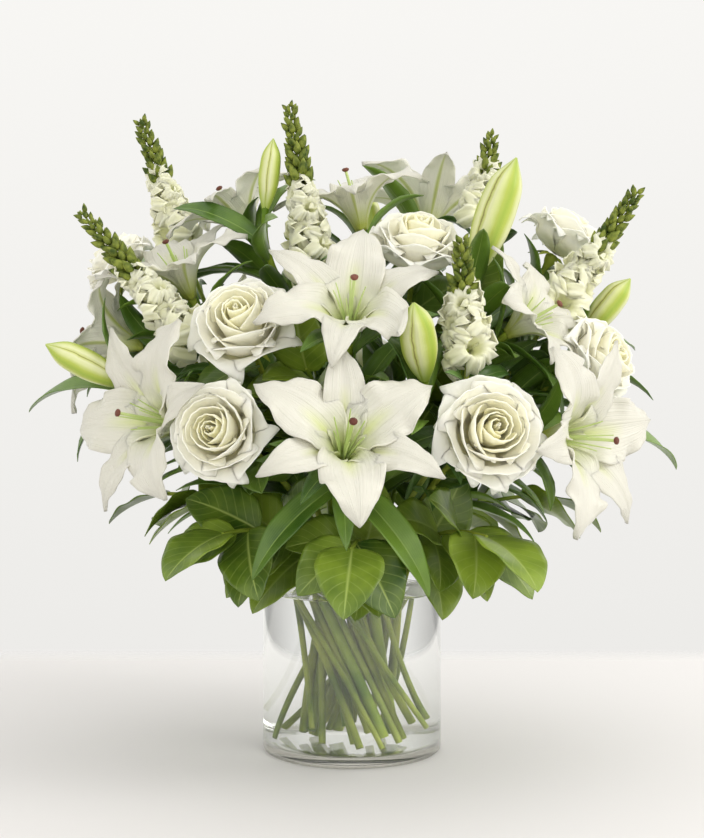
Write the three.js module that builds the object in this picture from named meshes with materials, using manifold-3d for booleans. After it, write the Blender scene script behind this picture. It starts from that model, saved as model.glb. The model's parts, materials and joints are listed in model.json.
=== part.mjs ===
// White lilies, cream roses and white snapdragons with salal leaves, in a clear glass cylinder of water.
// Millimetres, +Z up. The origin is the middle of the vase's underside, and the front of the bunch faces -Y.

import * as THREE from "three";
import { mergeVertices } from "three/addons/utils/BufferGeometryUtils.js";
import Module from "manifold-3d";

const wasm = await Module();
wasm.setup();

// Driving dimensions.
const GAP = 0.3; // what is left between pieces that touch
const BLADE = 0.9; // thickness of petals
const RIB = 1.6; // thickness of a leaf along its rib
const SLACK = 0.35; // room kept round a piece when its place is tried
const GOLDEN = 137.508; // degrees from one leaf to the next down a lily stem
const SHORT_LEAVES = 4; // on each lily stem, besides the long leaves
const TAPER = 0.04; // share of its radius that a stem loses from each of its points to the next
const HANDLE = 0.38; // length of a curve's handles as a share of the curve's own
const VASE = { radius: 76, height: 150, wall: 4, floor: 9, corner: 4, sides: 32 };
const WATER_LEVEL = 136;

// Stems run straight from their feet to their necks at the rim, all leaning the same way round,
// so that they pass one another, and then curve to their flowers.
const NECK = { height: 150, reach: 54, spacing: 11, drift: 22, aimedFrom: 110, rounds: 80 };
const FOOT = { turn: 104, spread: 1.12, shortened: 0.12, height: VASE.floor + GAP + 1 };
const STEM_RADIUS = { lily: 4.2, rose: 2.9, snap: 2.5, salal: 2.1, stalk: 2.6 };
const STEM_SIDES = 5;

const COLOUR = {
  vase: { color: 0xeef4f2, roughness: 0.03, metalness: 0, transparent: true, opacity: 0.3 },
  water: { color: 0xf2f7f4, roughness: 0.02, metalness: 0, transparent: true, opacity: 0.25 },
  lily_stem: { color: 0x6f8f3a, roughness: 0.5, metalness: 0 },
  lily: { color: 0xf7f5ee, roughness: 0.45, metalness: 0 },
  rose_stem: { color: 0x5f8038, roughness: 0.55, metalness: 0 },
  rose: { color: 0xf6f1dc, roughness: 0.55, metalness: 0 },
  snapdragon_stem: { color: 0x7d9a48, roughness: 0.55, metalness: 0 },
  snapdragon: { color: 0xf6f6ea, roughness: 0.6, metalness: 0 },
  salal: { color: 0x4d7a2a, roughness: 0.4, metalness: 0 },
};

// The lily stems, and where each divides into flower stalks.
const LILY_STEMS = [
  { name: "front", fork: [4, -58, 226] },
  { name: "left", fork: [-78, -14, 250] },
  { name: "right", fork: [84, -22, 248] },
  { name: "top", fork: [-30, 26, 330] },
  { name: "back", fork: [16, 84, 262] },
];

// The open lilies: where the throat is, which way the flower faces, its turn in degrees and its size.
const LILIES = [
  { stem: "front", throat: [-6, -178, 262], face: [0.1, -0.82, 0.57], turn: 0, size: 1 },
  { stem: "left", throat: [-139, -90, 281], face: [-0.74, -0.62, 0.22], turn: 40, size: 1.07 },
  { stem: "right", throat: [158, -100, 272], face: [0.76, -0.63, 0.05], turn: -25, size: 1.07 },
  { stem: "front", throat: [-2, -112, 358], face: [0, -0.68, 0.73], turn: 52, size: 0.98 },
  { stem: "right", throat: [134, -52, 358], face: [0.74, -0.4, 0.54], turn: 20, size: 0.82 },
  { stem: "left", throat: [-138, -10, 392], face: [-0.35, -0.25, 0.9], turn: 10, size: 0.86 },
  { stem: "left", throat: [-186, 14, 346], face: [-0.86, 0.1, 0.28], turn: 15, size: 0.9 },
  { stem: "top", throat: [-92, 56, 446], face: [-0.5, 0.1, 0.86], turn: 30, size: 0.86 },
  { stem: "top", throat: [6, 22, 452], face: [-0.2, -0.1, 0.97], turn: 0, size: 0.86 },
  { stem: "back", throat: [70, 112, 452], face: [0.2, 0.42, 0.88], turn: 25, size: 0.95 },
  { stem: "back", throat: [-96, 146, 322], face: [-0.45, 0.82, 0.3], turn: 0, size: 1 },
  { stem: "back", throat: [112, 152, 300], face: [0.5, 0.82, 0.2], turn: 35, size: 1 },
];

// The closed lily buds: where the stalk ends, where the tip is, and how thick the bud is.
const LILY_BUDS = [
  { stem: "right", root: [100, -46, 402], tip: [134, -50, 497], radius: 16 },
  { stem: "right", root: [200, 30, 352], tip: [240, 24, 402], radius: 12 },
  { stem: "front", root: [56, -128, 318], tip: [46, -166, 376], radius: 14 },
  { stem: "left", root: [-184, -58, 312], tip: [-247, -70, 345], radius: 12 },
  { stem: "top", root: [-73, -6, 458], tip: [-66, -8, 518], radius: 9 },
  { stem: "back", root: [20, 150, 420], tip: [16, 176, 492], radius: 11 },
];

// The long lily leaves that show between and beside the flowers: roughly where each grows, and its tip.
const LONG_LEAVES = [
  { stem: "left", root: [-170, -20, 318], tip: [-280, -6, 312] },
  { stem: "right", root: [160, -60, 290], tip: [280, -4, 332] },
  { stem: "left", root: [-150, 0, 372], tip: [-186, 20, 486] },
  { stem: "left", root: [-170, 0, 345], tip: [-246, 20, 402] },
  { stem: "front", root: [-10, -120, 240], tip: [-80, -172, 182] },
  { stem: "front", root: [20, -120, 250], tip: [66, -160, 164] },
];

// The roses: the middle of the bloom, which way it faces, its turn in degrees and its radius.
const ROSES = [
  { at: [-101, -160, 279], face: [-0.28, -0.94, 0.2], turn: 20, radius: 37 },
  { at: [103, -165, 279], face: [0.2, -0.95, 0.24], turn: 70, radius: 41 },
  { at: [-85, -118, 360], face: [-0.2, -0.78, 0.6], turn: 0, radius: 40 },
  { at: [54, -38, 428], face: [0.12, -0.42, 0.9], turn: 45, radius: 39 },
  { at: [206, -44, 334], face: [0.76, -0.5, 0.4], turn: 10, radius: 36 },
  { at: [191, 66, 443], face: [0.56, 0.05, 0.83], turn: 30, radius: 35 },
  { at: [-206, 30, 422], face: [-0.6, 0, 0.8], turn: 60, radius: 30 },
  { at: [10, 182, 318], face: [0, 0.95, 0.3], turn: 15, radius: 38 },
  { at: [-186, 100, 290], face: [-0.8, 0.5, 0.25], turn: 50, radius: 36 },
];

// The snapdragons: where the open florets begin and where the spire ends.
const SNAPDRAGONS = [
  { base: [-122, -64, 340], tip: [-226, -44, 458] },
  { base: [-150, 96, 428], tip: [-192, 98, 552] },
  { base: [-30, -22, 400], tip: [-54, -2, 552] },
  { base: [90, -112, 326], tip: [84, -124, 430] },
  { base: [110, 56, 450], tip: [124, 60, 533] },
  { base: [168, -2, 368], tip: [246, 4, 480] },
  { base: [-34, 128, 360], tip: [-60, 206, 452] },
];

// The salal stems: where each ends, which way its end points, and its number of leaves.
const SALAL = [
  { end: [-100, -128, 198], aim: [-0.6, -0.75, -0.1], leaves: 9 },
  { end: [0, -158, 190], aim: [-0.1, -1, -0.15], leaves: 9 },
  { end: [104, -130, 196], aim: [0.5, -0.8, -0.1], leaves: 9 },
  { end: [162, 30, 214], aim: [1, 0.2, 0], leaves: 7 },
  { end: [-160, 26, 216], aim: [-1, 0.1, 0], leaves: 7 },
  { end: [-60, 150, 206], aim: [-0.3, 0.9, 0], leaves: 7 },
  { end: [84, 146, 206], aim: [0.5, 0.85, 0], leaves: 7 },
  { end: [-36, -92, 326], aim: [-0.3, -0.75, 0.6], leaves: 8 },
  { end: [96, 10, 388], aim: [0.5, -0.2, 0.85], leaves: 8 },
];

// Vectors and seeded numbers.
const UP = new THREE.Vector3(0, 0, 1);
const vec = (x, y, z) => new THREE.Vector3(x, y, z);
const toVector = (list) => new THREE.Vector3(...list);
const radians = THREE.MathUtils.degToRad;
const clamp = THREE.MathUtils.clamp;
const mix = THREE.MathUtils.lerp;

// A fixed number from 0 to 1 for each pair of seeds.
function vary(a, b) {
  const n = Math.sin(a * 12.9898 + b * 78.233) * 43758.5453;
  return n - Math.floor(n);
}

// Three directions at right angles: along, and two across, the first as upright as it can be.
function frameFor(direction) {
  const along = direction.clone().normalize();
  const reference = Math.abs(along.z) > 0.985 ? vec(0, 1, 0) : UP;
  const rise = reference.clone().addScaledVector(along, -reference.dot(along)).normalize();
  return { along, rise, side: along.clone().cross(rise) };
}

// The point at a radius, an angle in degrees and a height from a place, in a frame.
function around(place, frame, radius, degrees, height) {
  return place
    .clone()
    .addScaledVector(frame.rise, radius * Math.cos(radians(degrees)))
    .addScaledVector(frame.side, radius * Math.sin(radians(degrees)))
    .addScaledVector(frame.along, height);
}

// Closed solids.
function solidOf(points, triangles) {
  let volume = 0;
  for (const [a, b, c] of triangles)
    volume += points[a].dot(points[b].clone().cross(points[c]));
  const outward = volume < 0 ? triangles.map(([a, b, c]) => [a, c, b]) : triangles;
  return new wasm.Manifold(
    new wasm.Mesh({
      numProp: 3,
      vertProperties: new Float32Array(points.flatMap((p) => [p.x, p.y, p.z])),
      triVerts: new Uint32Array(outward.flat()),
    }),
  );
}

const joined = (solids) => solids.reduce((whole, piece) => whole.add(piece));

// A closed skin over rings with the same number of points. A ring of one point is a pointed end.
// A looped skin runs on from the last ring to the first. Spikes stand on the cells of one band.
function skin(rings, { looped = false, spikeBand = -1, spikes = [] } = {}) {
  const sides = Math.max(...rings.map((ring) => ring.length));
  const start = [];
  let count = 0;
  for (const ring of rings) {
    start.push(count);
    count += ring.length;
  }
  const last = rings.length - 1;
  const index = (i, k) => start[i] + (rings[i].length === 1 ? 0 : k % sides);
  const triangles = [];
  for (let i = 0; i <= (looped ? last : last - 1); i++)
    for (let k = 0; k < sides; k++) {
      const next = (i + 1) % rings.length;
      const [a, b, c, d] = [index(i, k), index(i, k + 1), index(next, k + 1), index(next, k)];
      const tip = count + k;
      if (i === spikeBand) triangles.push([a, b, tip], [b, c, tip], [c, d, tip], [d, a, tip]);
      else {
        if (a !== b) triangles.push([a, b, c]);
        if (c !== d) triangles.push([a, c, d]);
      }
    }
  for (let k = 1; k < sides - 1 && !looped; k++) {
    if (rings[0].length > 1) triangles.push([index(0, 0), index(0, k + 1), index(0, k)]);
    if (rings[last].length > 1) triangles.push([index(last, 0), index(last, k), index(last, k + 1)]);
  }
  return solidOf([...rings.flat(), ...spikes], triangles);
}

// Lower rings, with their points counted round so that they meet the upper rings without a twist.
function continued(lower, upper) {
  const distances = lower[lower.length - 1].map((point) => point.distanceTo(upper[0][0]));
  const start = distances.indexOf(Math.min(...distances));
  return [...lower.map((ring) => [...ring.slice(start), ...ring.slice(0, start)]), ...upper];
}

// The rings of a bar through points. A radius of 0 makes a pointed end.
function barRings(points, radii, sides, grow = 0) {
  let across = null;
  return points.map((point, i) => {
    const before = points[Math.max(0, i - 1)];
    const after = points[Math.min(points.length - 1, i + 1)];
    const along = after.clone().sub(before).normalize();
    if (!across) across = frameFor(along).rise;
    across = across.clone().addScaledVector(along, -across.dot(along)).normalize();
    if (radii[i] + grow === 0) return [point];
    const frame = { along, rise: across, side: along.clone().cross(across) };
    const radius = radii[i] + grow / Math.cos(Math.PI / sides);
    return Array.from({ length: sides }, (_, k) => around(point, frame, radius, (360 * k) / sides, 0));
  });
}

const bar = (points, radii, sides, grow = 0) => skin(barRings(points, radii, sides, grow));

// A thin sheet of triangles given a thickness, with a rim along its free edges.
function thicken(points, triangles, thickness) {
  const normals = points.map(() => vec(0, 0, 0));
  for (const [a, b, c] of triangles) {
    const normal = points[b].clone().sub(points[a]).cross(points[c].clone().sub(points[a]));
    for (const corner of [a, b, c])
      normals[corner].add(normal);
  }
  const shift = (side) =>
    points.map((point, i) => point.clone().addScaledVector(normals[i].clone().normalize(), side));
  const count = points.length;
  const faces = triangles.map((triangle) => [...triangle]);
  for (const [a, b, c] of triangles)
    faces.push([a + count, c + count, b + count]);
  const edges = new Set(triangles.flatMap(([a, b, c]) => [`${a} ${b}`, `${b} ${c}`, `${c} ${a}`]));
  for (const edge of edges) {
    const [p, q] = edge.split(" ").map(Number);
    if (edges.has(`${q} ${p}`)) continue;
    faces.push([q, p, p + count], [q, p + count, q + count]);
  }
  return solidOf([...shift(thickness / 2), ...shift(-thickness / 2)], faces);
}

// A thin blade over rows of points. A row of one point is a pointed end.
function blade(rows, thickness) {
  const wide = Math.max(...rows.map((row) => row.length));
  const start = [];
  let count = 0;
  for (const row of rows) {
    start.push(count);
    count += row.length;
  }
  const index = (i, j) => start[i] + Math.min(j, rows[i].length - 1);
  const triangles = [];
  for (let i = 0; i < rows.length - 1; i++)
    for (let j = 0; j < wide - 1; j++) {
      const [a, b] = [index(i, j), index(i, j + 1)];
      const [d, c] = [index(i + 1, j), index(i + 1, j + 1)];
      if (a !== b) triangles.push([a, b, c]);
      if (c !== d) triangles.push([a, c, d]);
    }
  return thicken(rows.flat(), triangles, thickness);
}

// The nodes' solids, and what has been placed so far, so that each piece finds a free place.
const parts = new Map();
const placed = [];

function claim(node, solid) {
  placed.push({ node, solid, box: solid.boundingBox() });
}

function add(node, solid) {
  parts.set(node, [...(parts.get(node) ?? []), solid]);
  claim(node, solid);
}

function boxesMeet(a, b) {
  return [0, 1, 2].every((i) => a.min[i] <= b.max[i] && b.min[i] <= a.max[i]);
}

function blockers(solid, ignored = []) {
  const box = solid.boundingBox();
  return placed
    .filter((item) => !ignored.includes(item.node) && boxesMeet(box, item.box))
    .filter((item) => !solid.intersect(item.solid).isEmpty())
    .map((item) => item.node);
}

const isClear = (solid, ignored) => blockers(solid, ignored).length === 0;

function addFixed(node, solid) {
  const met = blockers(solid, [node]);
  if (met.length) console.warn(`${node} meets ${[...new Set(met)].join(", ")}`);
  add(node, solid);
}

// The line of a petal's rib in a flower's frame. The knots are its angles to the axis, evenly spaced.
function ribPoint(knots, length, share) {
  const steps = 24;
  let radius = 0;
  let height = 0;
  for (let i = 0; i < share * steps; i++) {
    const part = Math.min(1, share * steps - i);
    const angle = radians(knotValue(knots, (i + part / 2) / steps));
    radius += (Math.sin(angle) * length * part) / steps;
    height += (Math.cos(angle) * length * part) / steps;
  }
  return { radius, height };
}

function knotValue(knots, share) {
  const spot = clamp(share, 0, 1) * (knots.length - 1);
  const knot = Math.min(Math.floor(spot), knots.length - 2);
  return mix(knots[knot], knots[knot + 1], spot - knot);
}

// Roses. Each bloom is one skin that runs over three whorls of five petals, from the outermost inwards.
const ROSE_DEPTH = 22; // from the middle of the bloom back to the top of the hip
const PETALS = 5;
// The rings of the skin: the whorl they belong to, radius and height as shares of the bloom's radius,
// how far the sides of each petal lie below its middle, and how far its sides overlap the next petal's.
const ROSE_RINGS = [
  { whorl: 0, radius: 0.74, height: 0.34, dip: 0.02, step: 0.03 },
  { whorl: 0, radius: 0.86, height: 0.62, dip: 0.06, step: 0.05 },
  { whorl: 0, radius: 1, height: 0.86, dip: 0.2, step: 0.06 },
  { whorl: 0, radius: 0.6, height: 0.62, dip: 0.02, step: 0 },
  { whorl: 1, radius: 0.66, height: 1.08, dip: 0.2, step: 0.06 },
  { whorl: 1, radius: 0.4, height: 0.76, dip: 0.02, step: 0 },
  { whorl: 2, radius: 0.4, height: 1.16, dip: 0.14, step: 0.05 },
  { whorl: 2, radius: 0.2, height: 0.92, dip: 0, step: 0 },
];
const ROSE_HEART = 1.08; // height of the closed heart
const PETAL_SPREAD = 0.485; // from a petal's middle to its side, as a share of the turn between petals
const WHORL_TURN = 24; // degrees that each whorl is turned back from the one outside it
// The calyx's rings: radius and distance along the axis, and the same for the tips of its sepals.
const CALYX_RINGS = [
  { radius: 3, height: -15, tip: 3, tipHeight: -15 },
  { radius: 6, height: -5, tip: 21, tipHeight: -10 },
  { radius: 5.2, height: -1, tip: 5.2, tipHeight: 0 },
];

function roseRing(rose, ring) {
  return Array.from({ length: PETALS * 3 }, (_, column) => {
    const count = column + ring.whorl;
    const across = (count % 3) - 1;
    const petal = Math.floor(count / 3);
    const turn = rose.turn + (petal + across * PETAL_SPREAD) * (360 / PETALS) - WHORL_TURN * ring.whorl;
    const radius = (ring.radius - ring.step * across) * rose.radius;
    const height = (ring.height - ring.dip * across * across) * rose.radius;
    return around(rose.root, rose.frame, radius, turn, GAP + height);
  });
}

// The hip and its five pointed sepals.
function roseCalyx(rose) {
  const step = 180 / PETALS;
  const rings = CALYX_RINGS.map(({ radius, height, tip, tipHeight }) =>
    Array.from({ length: 2 * PETALS }, (_, k) => {
      const [reach, rise] = k % 2 ? [radius, height] : [tip, tipHeight];
      return around(rose.root, rose.frame, reach, rose.turn + step * (k + 0.5), rise);
    }),
  );
  return skin([...rings, [rose.root]]);
}

ROSES.forEach((rose, i) => {
  const axis = toVector(rose.face).normalize();
  rose.root = toVector(rose.at).addScaledVector(axis, -ROSE_DEPTH);
  rose.frame = frameFor(axis);
  const rings = ROSE_RINGS.map((ring) => roseRing(rose, ring));
  const low = around(rose.root, rose.frame, 0, 0, GAP);
  const top = around(rose.root, rose.frame, 0, 0, ROSE_HEART * rose.radius);
  addFixed(`rose_${i + 1}`, skin([[low], ...rings, [top]]));
  addFixed(`rose_stem_${i + 1}`, roseCalyx(rose));
});

// Lilies. The petals grow together into a throat and part into six lobes: three narrow outer ones,
// which are the even ones, and three broad inner ones.
const PETAL_LENGTH = 104;
const OUTER_WIDTH = 34;
const INNER_WIDTH = 51;
const LILY_KNOTS = [14, 30, 58, 84, 112];
const THROAT_END = 0.42; // share of the petals' length that is grown together
const THROAT_ROWS = [0.03, THROAT_END];
const LOBE_ROWS = [0.62, 0.84];
const THROAT_START = 3.3; // radius of the throat's lower end
const LILY_DEPTH = 12; // from the throat back to the stalk's end
const THROAT_RISE = 1.5; // from the flower's root to the throat's lower end
// The line between two petals lies nearer to the narrow outer one, and a little inside both.
const VALLEY = { turn: 27, radius: 0.97, height: 1.03 };
const HEART = {
  knob: { radius: 3.2, narrowed: 3, low: -2, shoulder: 6, top: 7 },
  style: { length: 66, radius: 1.3, lean: 4, turn: 200 },
  stigma: { start: 0.94, lobe: 3.6, notch: 2 },
  filament: { length: 52, spread: 13, wander: 14 },
};

// Ways a lobe may take to pass its neighbours: how far it curls, bends sideways and is shorter.
const LOBE_TRIES = [];
for (const long of [1, 0.93, 0.86, 0.78, 0.7, 0.62, 0.54])
  for (const curl of [1, 1.2, 0.8, 1.4, 0.6, 1.6])
    for (const bend of [0, 12, -12, 22, -22, 32, -32])
      LOBE_TRIES.push({ long, curl, bend });

// Half the petal's width at a share of its length, as a share of its greatest half width.
const petalOutline = (t) => Math.max(0, Math.sin(Math.PI * t ** 0.86)) ** 0.85;

function petalPoint(lily, k, seed, attempt, t, across) {
  const inner = k % 2 === 1;
  const past = clamp((t - THROAT_END) / (1 - THROAT_END), 0, 1);
  const open = mix(1, attempt.curl * (0.94 + 0.16 * vary(seed, k + 30)), past);
  const length = PETAL_LENGTH * lily.size * mix(1, attempt.long * (0.95 + 0.1 * vary(seed, k)), past);
  const knots = LILY_KNOTS.map((angle, i) => (i > 2 ? angle * open : angle));
  const rib = ribPoint(knots, length, t);
  const slope = radians(knotValue(knots, t));
  const half = ((inner ? INNER_WIDTH : OUTER_WIDTH) / 2) * lily.size * petalOutline(t);
  const bend = (attempt.bend + 8 * (vary(seed, k + 50) - 0.5)) * past * past;
  const lift = mix(3, -4, past) * across * across * (inner ? 1 : 0.6);
  const radius = THROAT_START + rib.radius - Math.cos(slope) * lift;
  const height = THROAT_RISE + rib.height + Math.sin(slope) * lift;
  const turn = lily.turn + 60 * k;
  const sideways = around(vec(0, 0, 0), lily.frame, 1, turn + 90, 0);
  return around(lily.root, lily.frame, radius, turn, height).addScaledVector(sideways, half * across + bend);
}

// A point between two petals in the throat.
function valleyPoint(lily, k, t) {
  const rib = ribPoint(LILY_KNOTS, PETAL_LENGTH * lily.size, t);
  const turn = lily.turn + 60 * k + (k % 2 ? 60 - VALLEY.turn : VALLEY.turn);
  const radius = THROAT_START + rib.radius * VALLEY.radius;
  return around(lily.root, lily.frame, radius, turn, THROAT_RISE + rib.height * VALLEY.height);
}

const PLAIN = { long: 1, curl: 1, bend: 0 };

function lobeRows(lily, k, seed, attempt) {
  const rows = LOBE_ROWS.map((t) => [-1, 0, 1].map((w) => petalPoint(lily, k, seed, attempt, t, w)));
  return [...rows, [petalPoint(lily, k, seed, attempt, 1, 0)]];
}

function throatPoints(lily, seed) {
  return THROAT_ROWS.flatMap((t) =>
    [0, 1, 2, 3, 4, 5].flatMap((k) => [
      petalPoint(lily, k, seed, PLAIN, t, 0),
      valleyPoint(lily, k, t),
    ]),
  );
}

const throatTriangles = [];
for (let row = 0; row < THROAT_ROWS.length - 1; row++)
  for (let column = 0; column < 12; column++) {
    const [a, b] = [row * 12 + column, row * 12 + ((column + 1) % 12)];
    throatTriangles.push([a, b, b + 12], [a, b + 12, a + 12]);
  }

function lilyBloom(lily, seed, attempts) {
  const points = throatPoints(lily, seed);
  const triangles = [...throatTriangles];
  const lastRow = (THROAT_ROWS.length - 1) * 12;
  attempts.forEach((attempt, k) => {
    const left = lastRow + ((2 * k + 11) % 12);
    let row = [left, lastRow + 2 * k, lastRow + 2 * k + 1];
    for (const next of lobeRows(lily, k, seed, attempt)) {
      const spots = next.map((point) => points.push(point) - 1);
      for (let j = 0; j < 2; j++) {
        const far = spots.length === 1 ? [spots[0]] : [spots[j], spots[j + 1]];
        triangles.push([row[j], row[j + 1], far[far.length - 1]]);
        if (far.length > 1) triangles.push([row[j], far[1], far[0]]);
      }
      row = spots;
    }
  });
  return thicken(points, triangles, BLADE);
}

// The green heart: a knob that the throat grows round, the style with its stigma, and six bare
// filaments that stand as spikes on the knob.
function heartRings(lily, seed) {
  const { root, frame, turn, size } = lily;
  const { knob, style, stigma, filament } = HEART;
  const bent = around(root, frame, style.lean, turn + style.turn, 0);
  const ring = (middle, height, radiusAt) =>
    Array.from({ length: 6 }, (_, k) => around(middle, frame, radiusAt(k), turn + 60 * k - 30, height));
  const end = style.length * size;
  const rings = [
    ring(root, knob.low, () => knob.radius),
    ring(root, knob.shoulder, () => knob.narrowed),
    ring(root, knob.top, () => style.radius),
    ring(bent, end * stigma.start, () => style.radius),
    ring(bent, end, (k) => (k % 2 ? stigma.lobe : stigma.notch)),
  ];
  const spikes = [0, 1, 2, 3, 4, 5].map((k) => {
    const length = filament.length * size * (0.9 + 0.2 * vary(seed, k + 9));
    const aside = filament.wander * (vary(seed, k) - 0.5);
    return around(root, frame, filament.spread, turn + 60 * k + aside, length);
  });
  return { rings, spikes };
}

LILIES.forEach((lily, index) => {
  const axis = toVector(lily.face).normalize();
  lily.frame = frameFor(axis);
  lily.root = toVector(lily.throat).addScaledVector(axis, -LILY_DEPTH);
  lily.node = `lily_${index + 1}`;
  const throat = thicken(throatPoints(lily, index), throatTriangles, BLADE + 2 * SLACK);
  const { rings, spikes } = heartRings(lily, index);
  const heart = skin(rings, { spikeBand: 1, spikes });
  const met = [...blockers(throat), ...blockers(heart)];
  if (met.length) console.warn(`${lily.node} meets ${met}`);
  claim(lily.node, throat);
  claim(`lily_stem_${lily.stem}`, heart);
});

// The rings of a closed lily bud, long and pointed.
const BUD_SHAPE = [[0, 0.3], [0.1, 0.66], [0.36, 1], [0.74, 0.8], [1, 0]];

LILY_BUDS.forEach((bud) => {
  bud.foot = toVector(bud.root);
  bud.end = toVector(bud.tip);
  const line = BUD_SHAPE.map(([share]) => bud.foot.clone().lerp(bud.end, share));
  bud.rings = barRings(line, BUD_SHAPE.map(([, width]) => bud.radius * width), 6);
  const solid = skin(bud.rings);
  const met = blockers(solid, [`lily_stem_${bud.stem}`]);
  if (met.length) console.warn(`a bud of lily_stem_${bud.stem} meets ${met}`);
  claim(`lily_stem_${bud.stem}`, solid);
});

// Stems.
const stems = [
  ...LILY_STEMS.map((s) => ({ kind: "lily", name: `lily_stem_${s.name}`, lead: toVector(s.fork) })),
  ...ROSES.map((rose, i) => ({ kind: "rose", name: `rose_stem_${i + 1}`, lead: rose.root.clone() })),
  ...SNAPDRAGONS.map((s, i) => ({ kind: "snap", name: `snapdragon_stem_${i + 1}`, lead: toVector(s.base) })),
  ...SALAL.map((s, i) => ({ kind: "salal", name: `salal_${i + 1}`, lead: toVector(s.end) })),
];
const stemNamed = Object.fromEntries(stems.map((stem) => [stem.name, stem]));

// Each neck lies under its flower, nearer the rim the further out that is, and the necks are eased apart.
function layOutNecks() {
  for (const stem of stems) {
    const { lead } = stem;
    const slope = Math.atan2(Math.hypot(lead.x, lead.y), lead.z - NECK.aimedFrom);
    const reach = NECK.reach * Math.sin(slope) ** 0.8;
    const angle = Math.atan2(lead.y, lead.x) + radians(NECK.drift);
    stem.neck = vec(reach * Math.cos(angle), reach * Math.sin(angle), NECK.height);
  }
  for (let round = 0; round < NECK.rounds; round++)
    for (const a of stems)
      for (const b of stems.slice(stems.indexOf(a) + 1)) {
        const between = b.neck.clone().sub(a.neck);
        const short = NECK.spacing - between.length();
        if (short <= 0) continue;
        between.normalize();
        a.neck.addScaledVector(between, -short / 2);
        b.neck.addScaledVector(between, short / 2);
        for (const { neck } of [a, b]) {
          const inside = Math.min(1, NECK.reach / Math.hypot(neck.x, neck.y));
          neck.set(neck.x * inside, neck.y * inside, NECK.height);
        }
      }
}

// The feet spiral round from the necks, some of them cut shorter than others.
function layOutFeet() {
  stems.forEach((stem, i) => {
    const turned = stem.neck.clone().applyAxisAngle(UP, radians(FOOT.turn)).multiplyScalar(FOOT.spread);
    const foot = vec(turned.x, turned.y, FOOT.height);
    stem.foot = foot.lerp(stem.neck, FOOT.shortened * vary(i, 3));
    stem.radius = STEM_RADIUS[stem.kind];
    claim(stem.name, bar([stem.foot, stem.neck], [stem.radius, stem.radius], STEM_SIDES));
  });
}

layOutNecks();
layOutFeet();

// Ways a curve may sway to pass what stands in its way: sideways and upwards, in millimetres.
const SWAYS = [[0, 0]];
for (const reach of [12, 22, 34, 48, 64])
  for (let k = 0; k < 8; k++)
    SWAYS.push([reach * Math.cos((k * Math.PI) / 4), reach * Math.sin((k * Math.PI) / 4)]);

function curveTo(node, start, leave, end, arrive, radius, pieces) {
  const length = start.distanceTo(end);
  const frame = frameFor(end.clone().sub(start));
  let fewest = null;
  for (const [sideways, upwards] of SWAYS) {
    const sway = frame.side.clone().multiplyScalar(sideways).addScaledVector(frame.rise, upwards);
    const first = start.clone().addScaledVector(leave, length * HANDLE).add(sway);
    const second = end.clone().addScaledVector(arrive, -length * HANDLE).add(sway);
    const points = new THREE.CubicBezierCurve3(start, first, second, end).getPoints(pieces);
    const tried = bar(points, points.map(() => radius), STEM_SIDES, SLACK + GAP);
    const met = blockers(tried, [node]);
    if (!fewest || met.length < fewest.met.length) fewest = { met, points };
    if (!met.length) break;
  }
  if (fewest.met.length) console.warn(`${node} has to pass ${fewest.met.join(", ")}`);
  return fewest.points;
}

// The rings of a whole stem, from its foot to its end.
function stemCurve(stem, end, arrive) {
  const leave = stem.neck.clone().sub(stem.foot).normalize();
  stem.points = [stem.foot, ...curveTo(stem.name, stem.neck, leave, end, arrive, stem.radius, 4)];
  stem.radii = stem.points.map((_, i) => stem.radius * (1 - TAPER * i));
}

const LEAN = 0.004; // outward lean of a lily stem's top for each millimetre that it is from the axis

for (const stem of stems.filter(({ kind }) => kind === "lily")) {
  stemCurve(stem, stem.lead, vec(stem.lead.x * LEAN, stem.lead.y * LEAN, 1).normalize());
  add(stem.name, bar(stem.points, stem.radii, STEM_SIDES));
}

// Lily stalks, each from near the top of its stem to a flower or a bud.
const STALK_STARTS = [0.02, 0.35, 0.18, 0.5]; // shares of the stem's last stretch below its top, in turn
const STALK_ENDS = { bud: 2, lily: 6 }; // how far behind a bud's or a lily's root its stalk's own rings end
const branches = {};

// Each stalk is one skin with the bud, or with the heart of the flower, that it carries.
function addStalk(name, end, arrive, carried, spikes = []) {
  const stem = stemNamed[`lily_stem_${name}`];
  const [low, high] = stem.points.slice(-2);
  branches[name] = (branches[name] ?? -1) + 1;
  const start = high.clone().lerp(low, STALK_STARTS[branches[name] % STALK_STARTS.length]);
  const rise = high.clone().sub(low).normalize();
  const leave = end.clone().sub(start).normalize().add(rise).normalize();
  const points = curveTo(stem.name, start, leave, end, arrive, STEM_RADIUS.stalk, 3);
  const rings = continued(barRings(points, points.map(() => STEM_RADIUS.stalk), 6), carried);
  const spikeBand = spikes.length ? points.length + 1 : -1;
  add(stem.name, skin(rings, { spikeBand, spikes }));
  stem.lines = [...(stem.lines ?? []), points];
}

for (const bud of LILY_BUDS) {
  const arrive = bud.end.clone().sub(bud.foot).normalize();
  const end = bud.foot.clone().addScaledVector(arrive, -STALK_ENDS.bud);
  addStalk(bud.stem, end, arrive, bud.rings);
}
LILIES.forEach((lily, index) => {
  const { rings, spikes } = heartRings(lily, index);
  const end = around(lily.root, lily.frame, 0, 0, -STALK_ENDS.lily);
  addStalk(lily.stem, end, lily.frame.along, rings, spikes);
});

const HIP_DEPTH = 14; // from the calyx's top back to where the stem ends, inside the hip

ROSES.forEach((rose, i) => {
  const stem = stemNamed[`rose_stem_${i + 1}`];
  stemCurve(stem, around(rose.root, rose.frame, 0, 0, -HIP_DEPTH), rose.frame.along);
  add(stem.name, bar(stem.points, stem.radii, STEM_SIDES));
});

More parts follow.
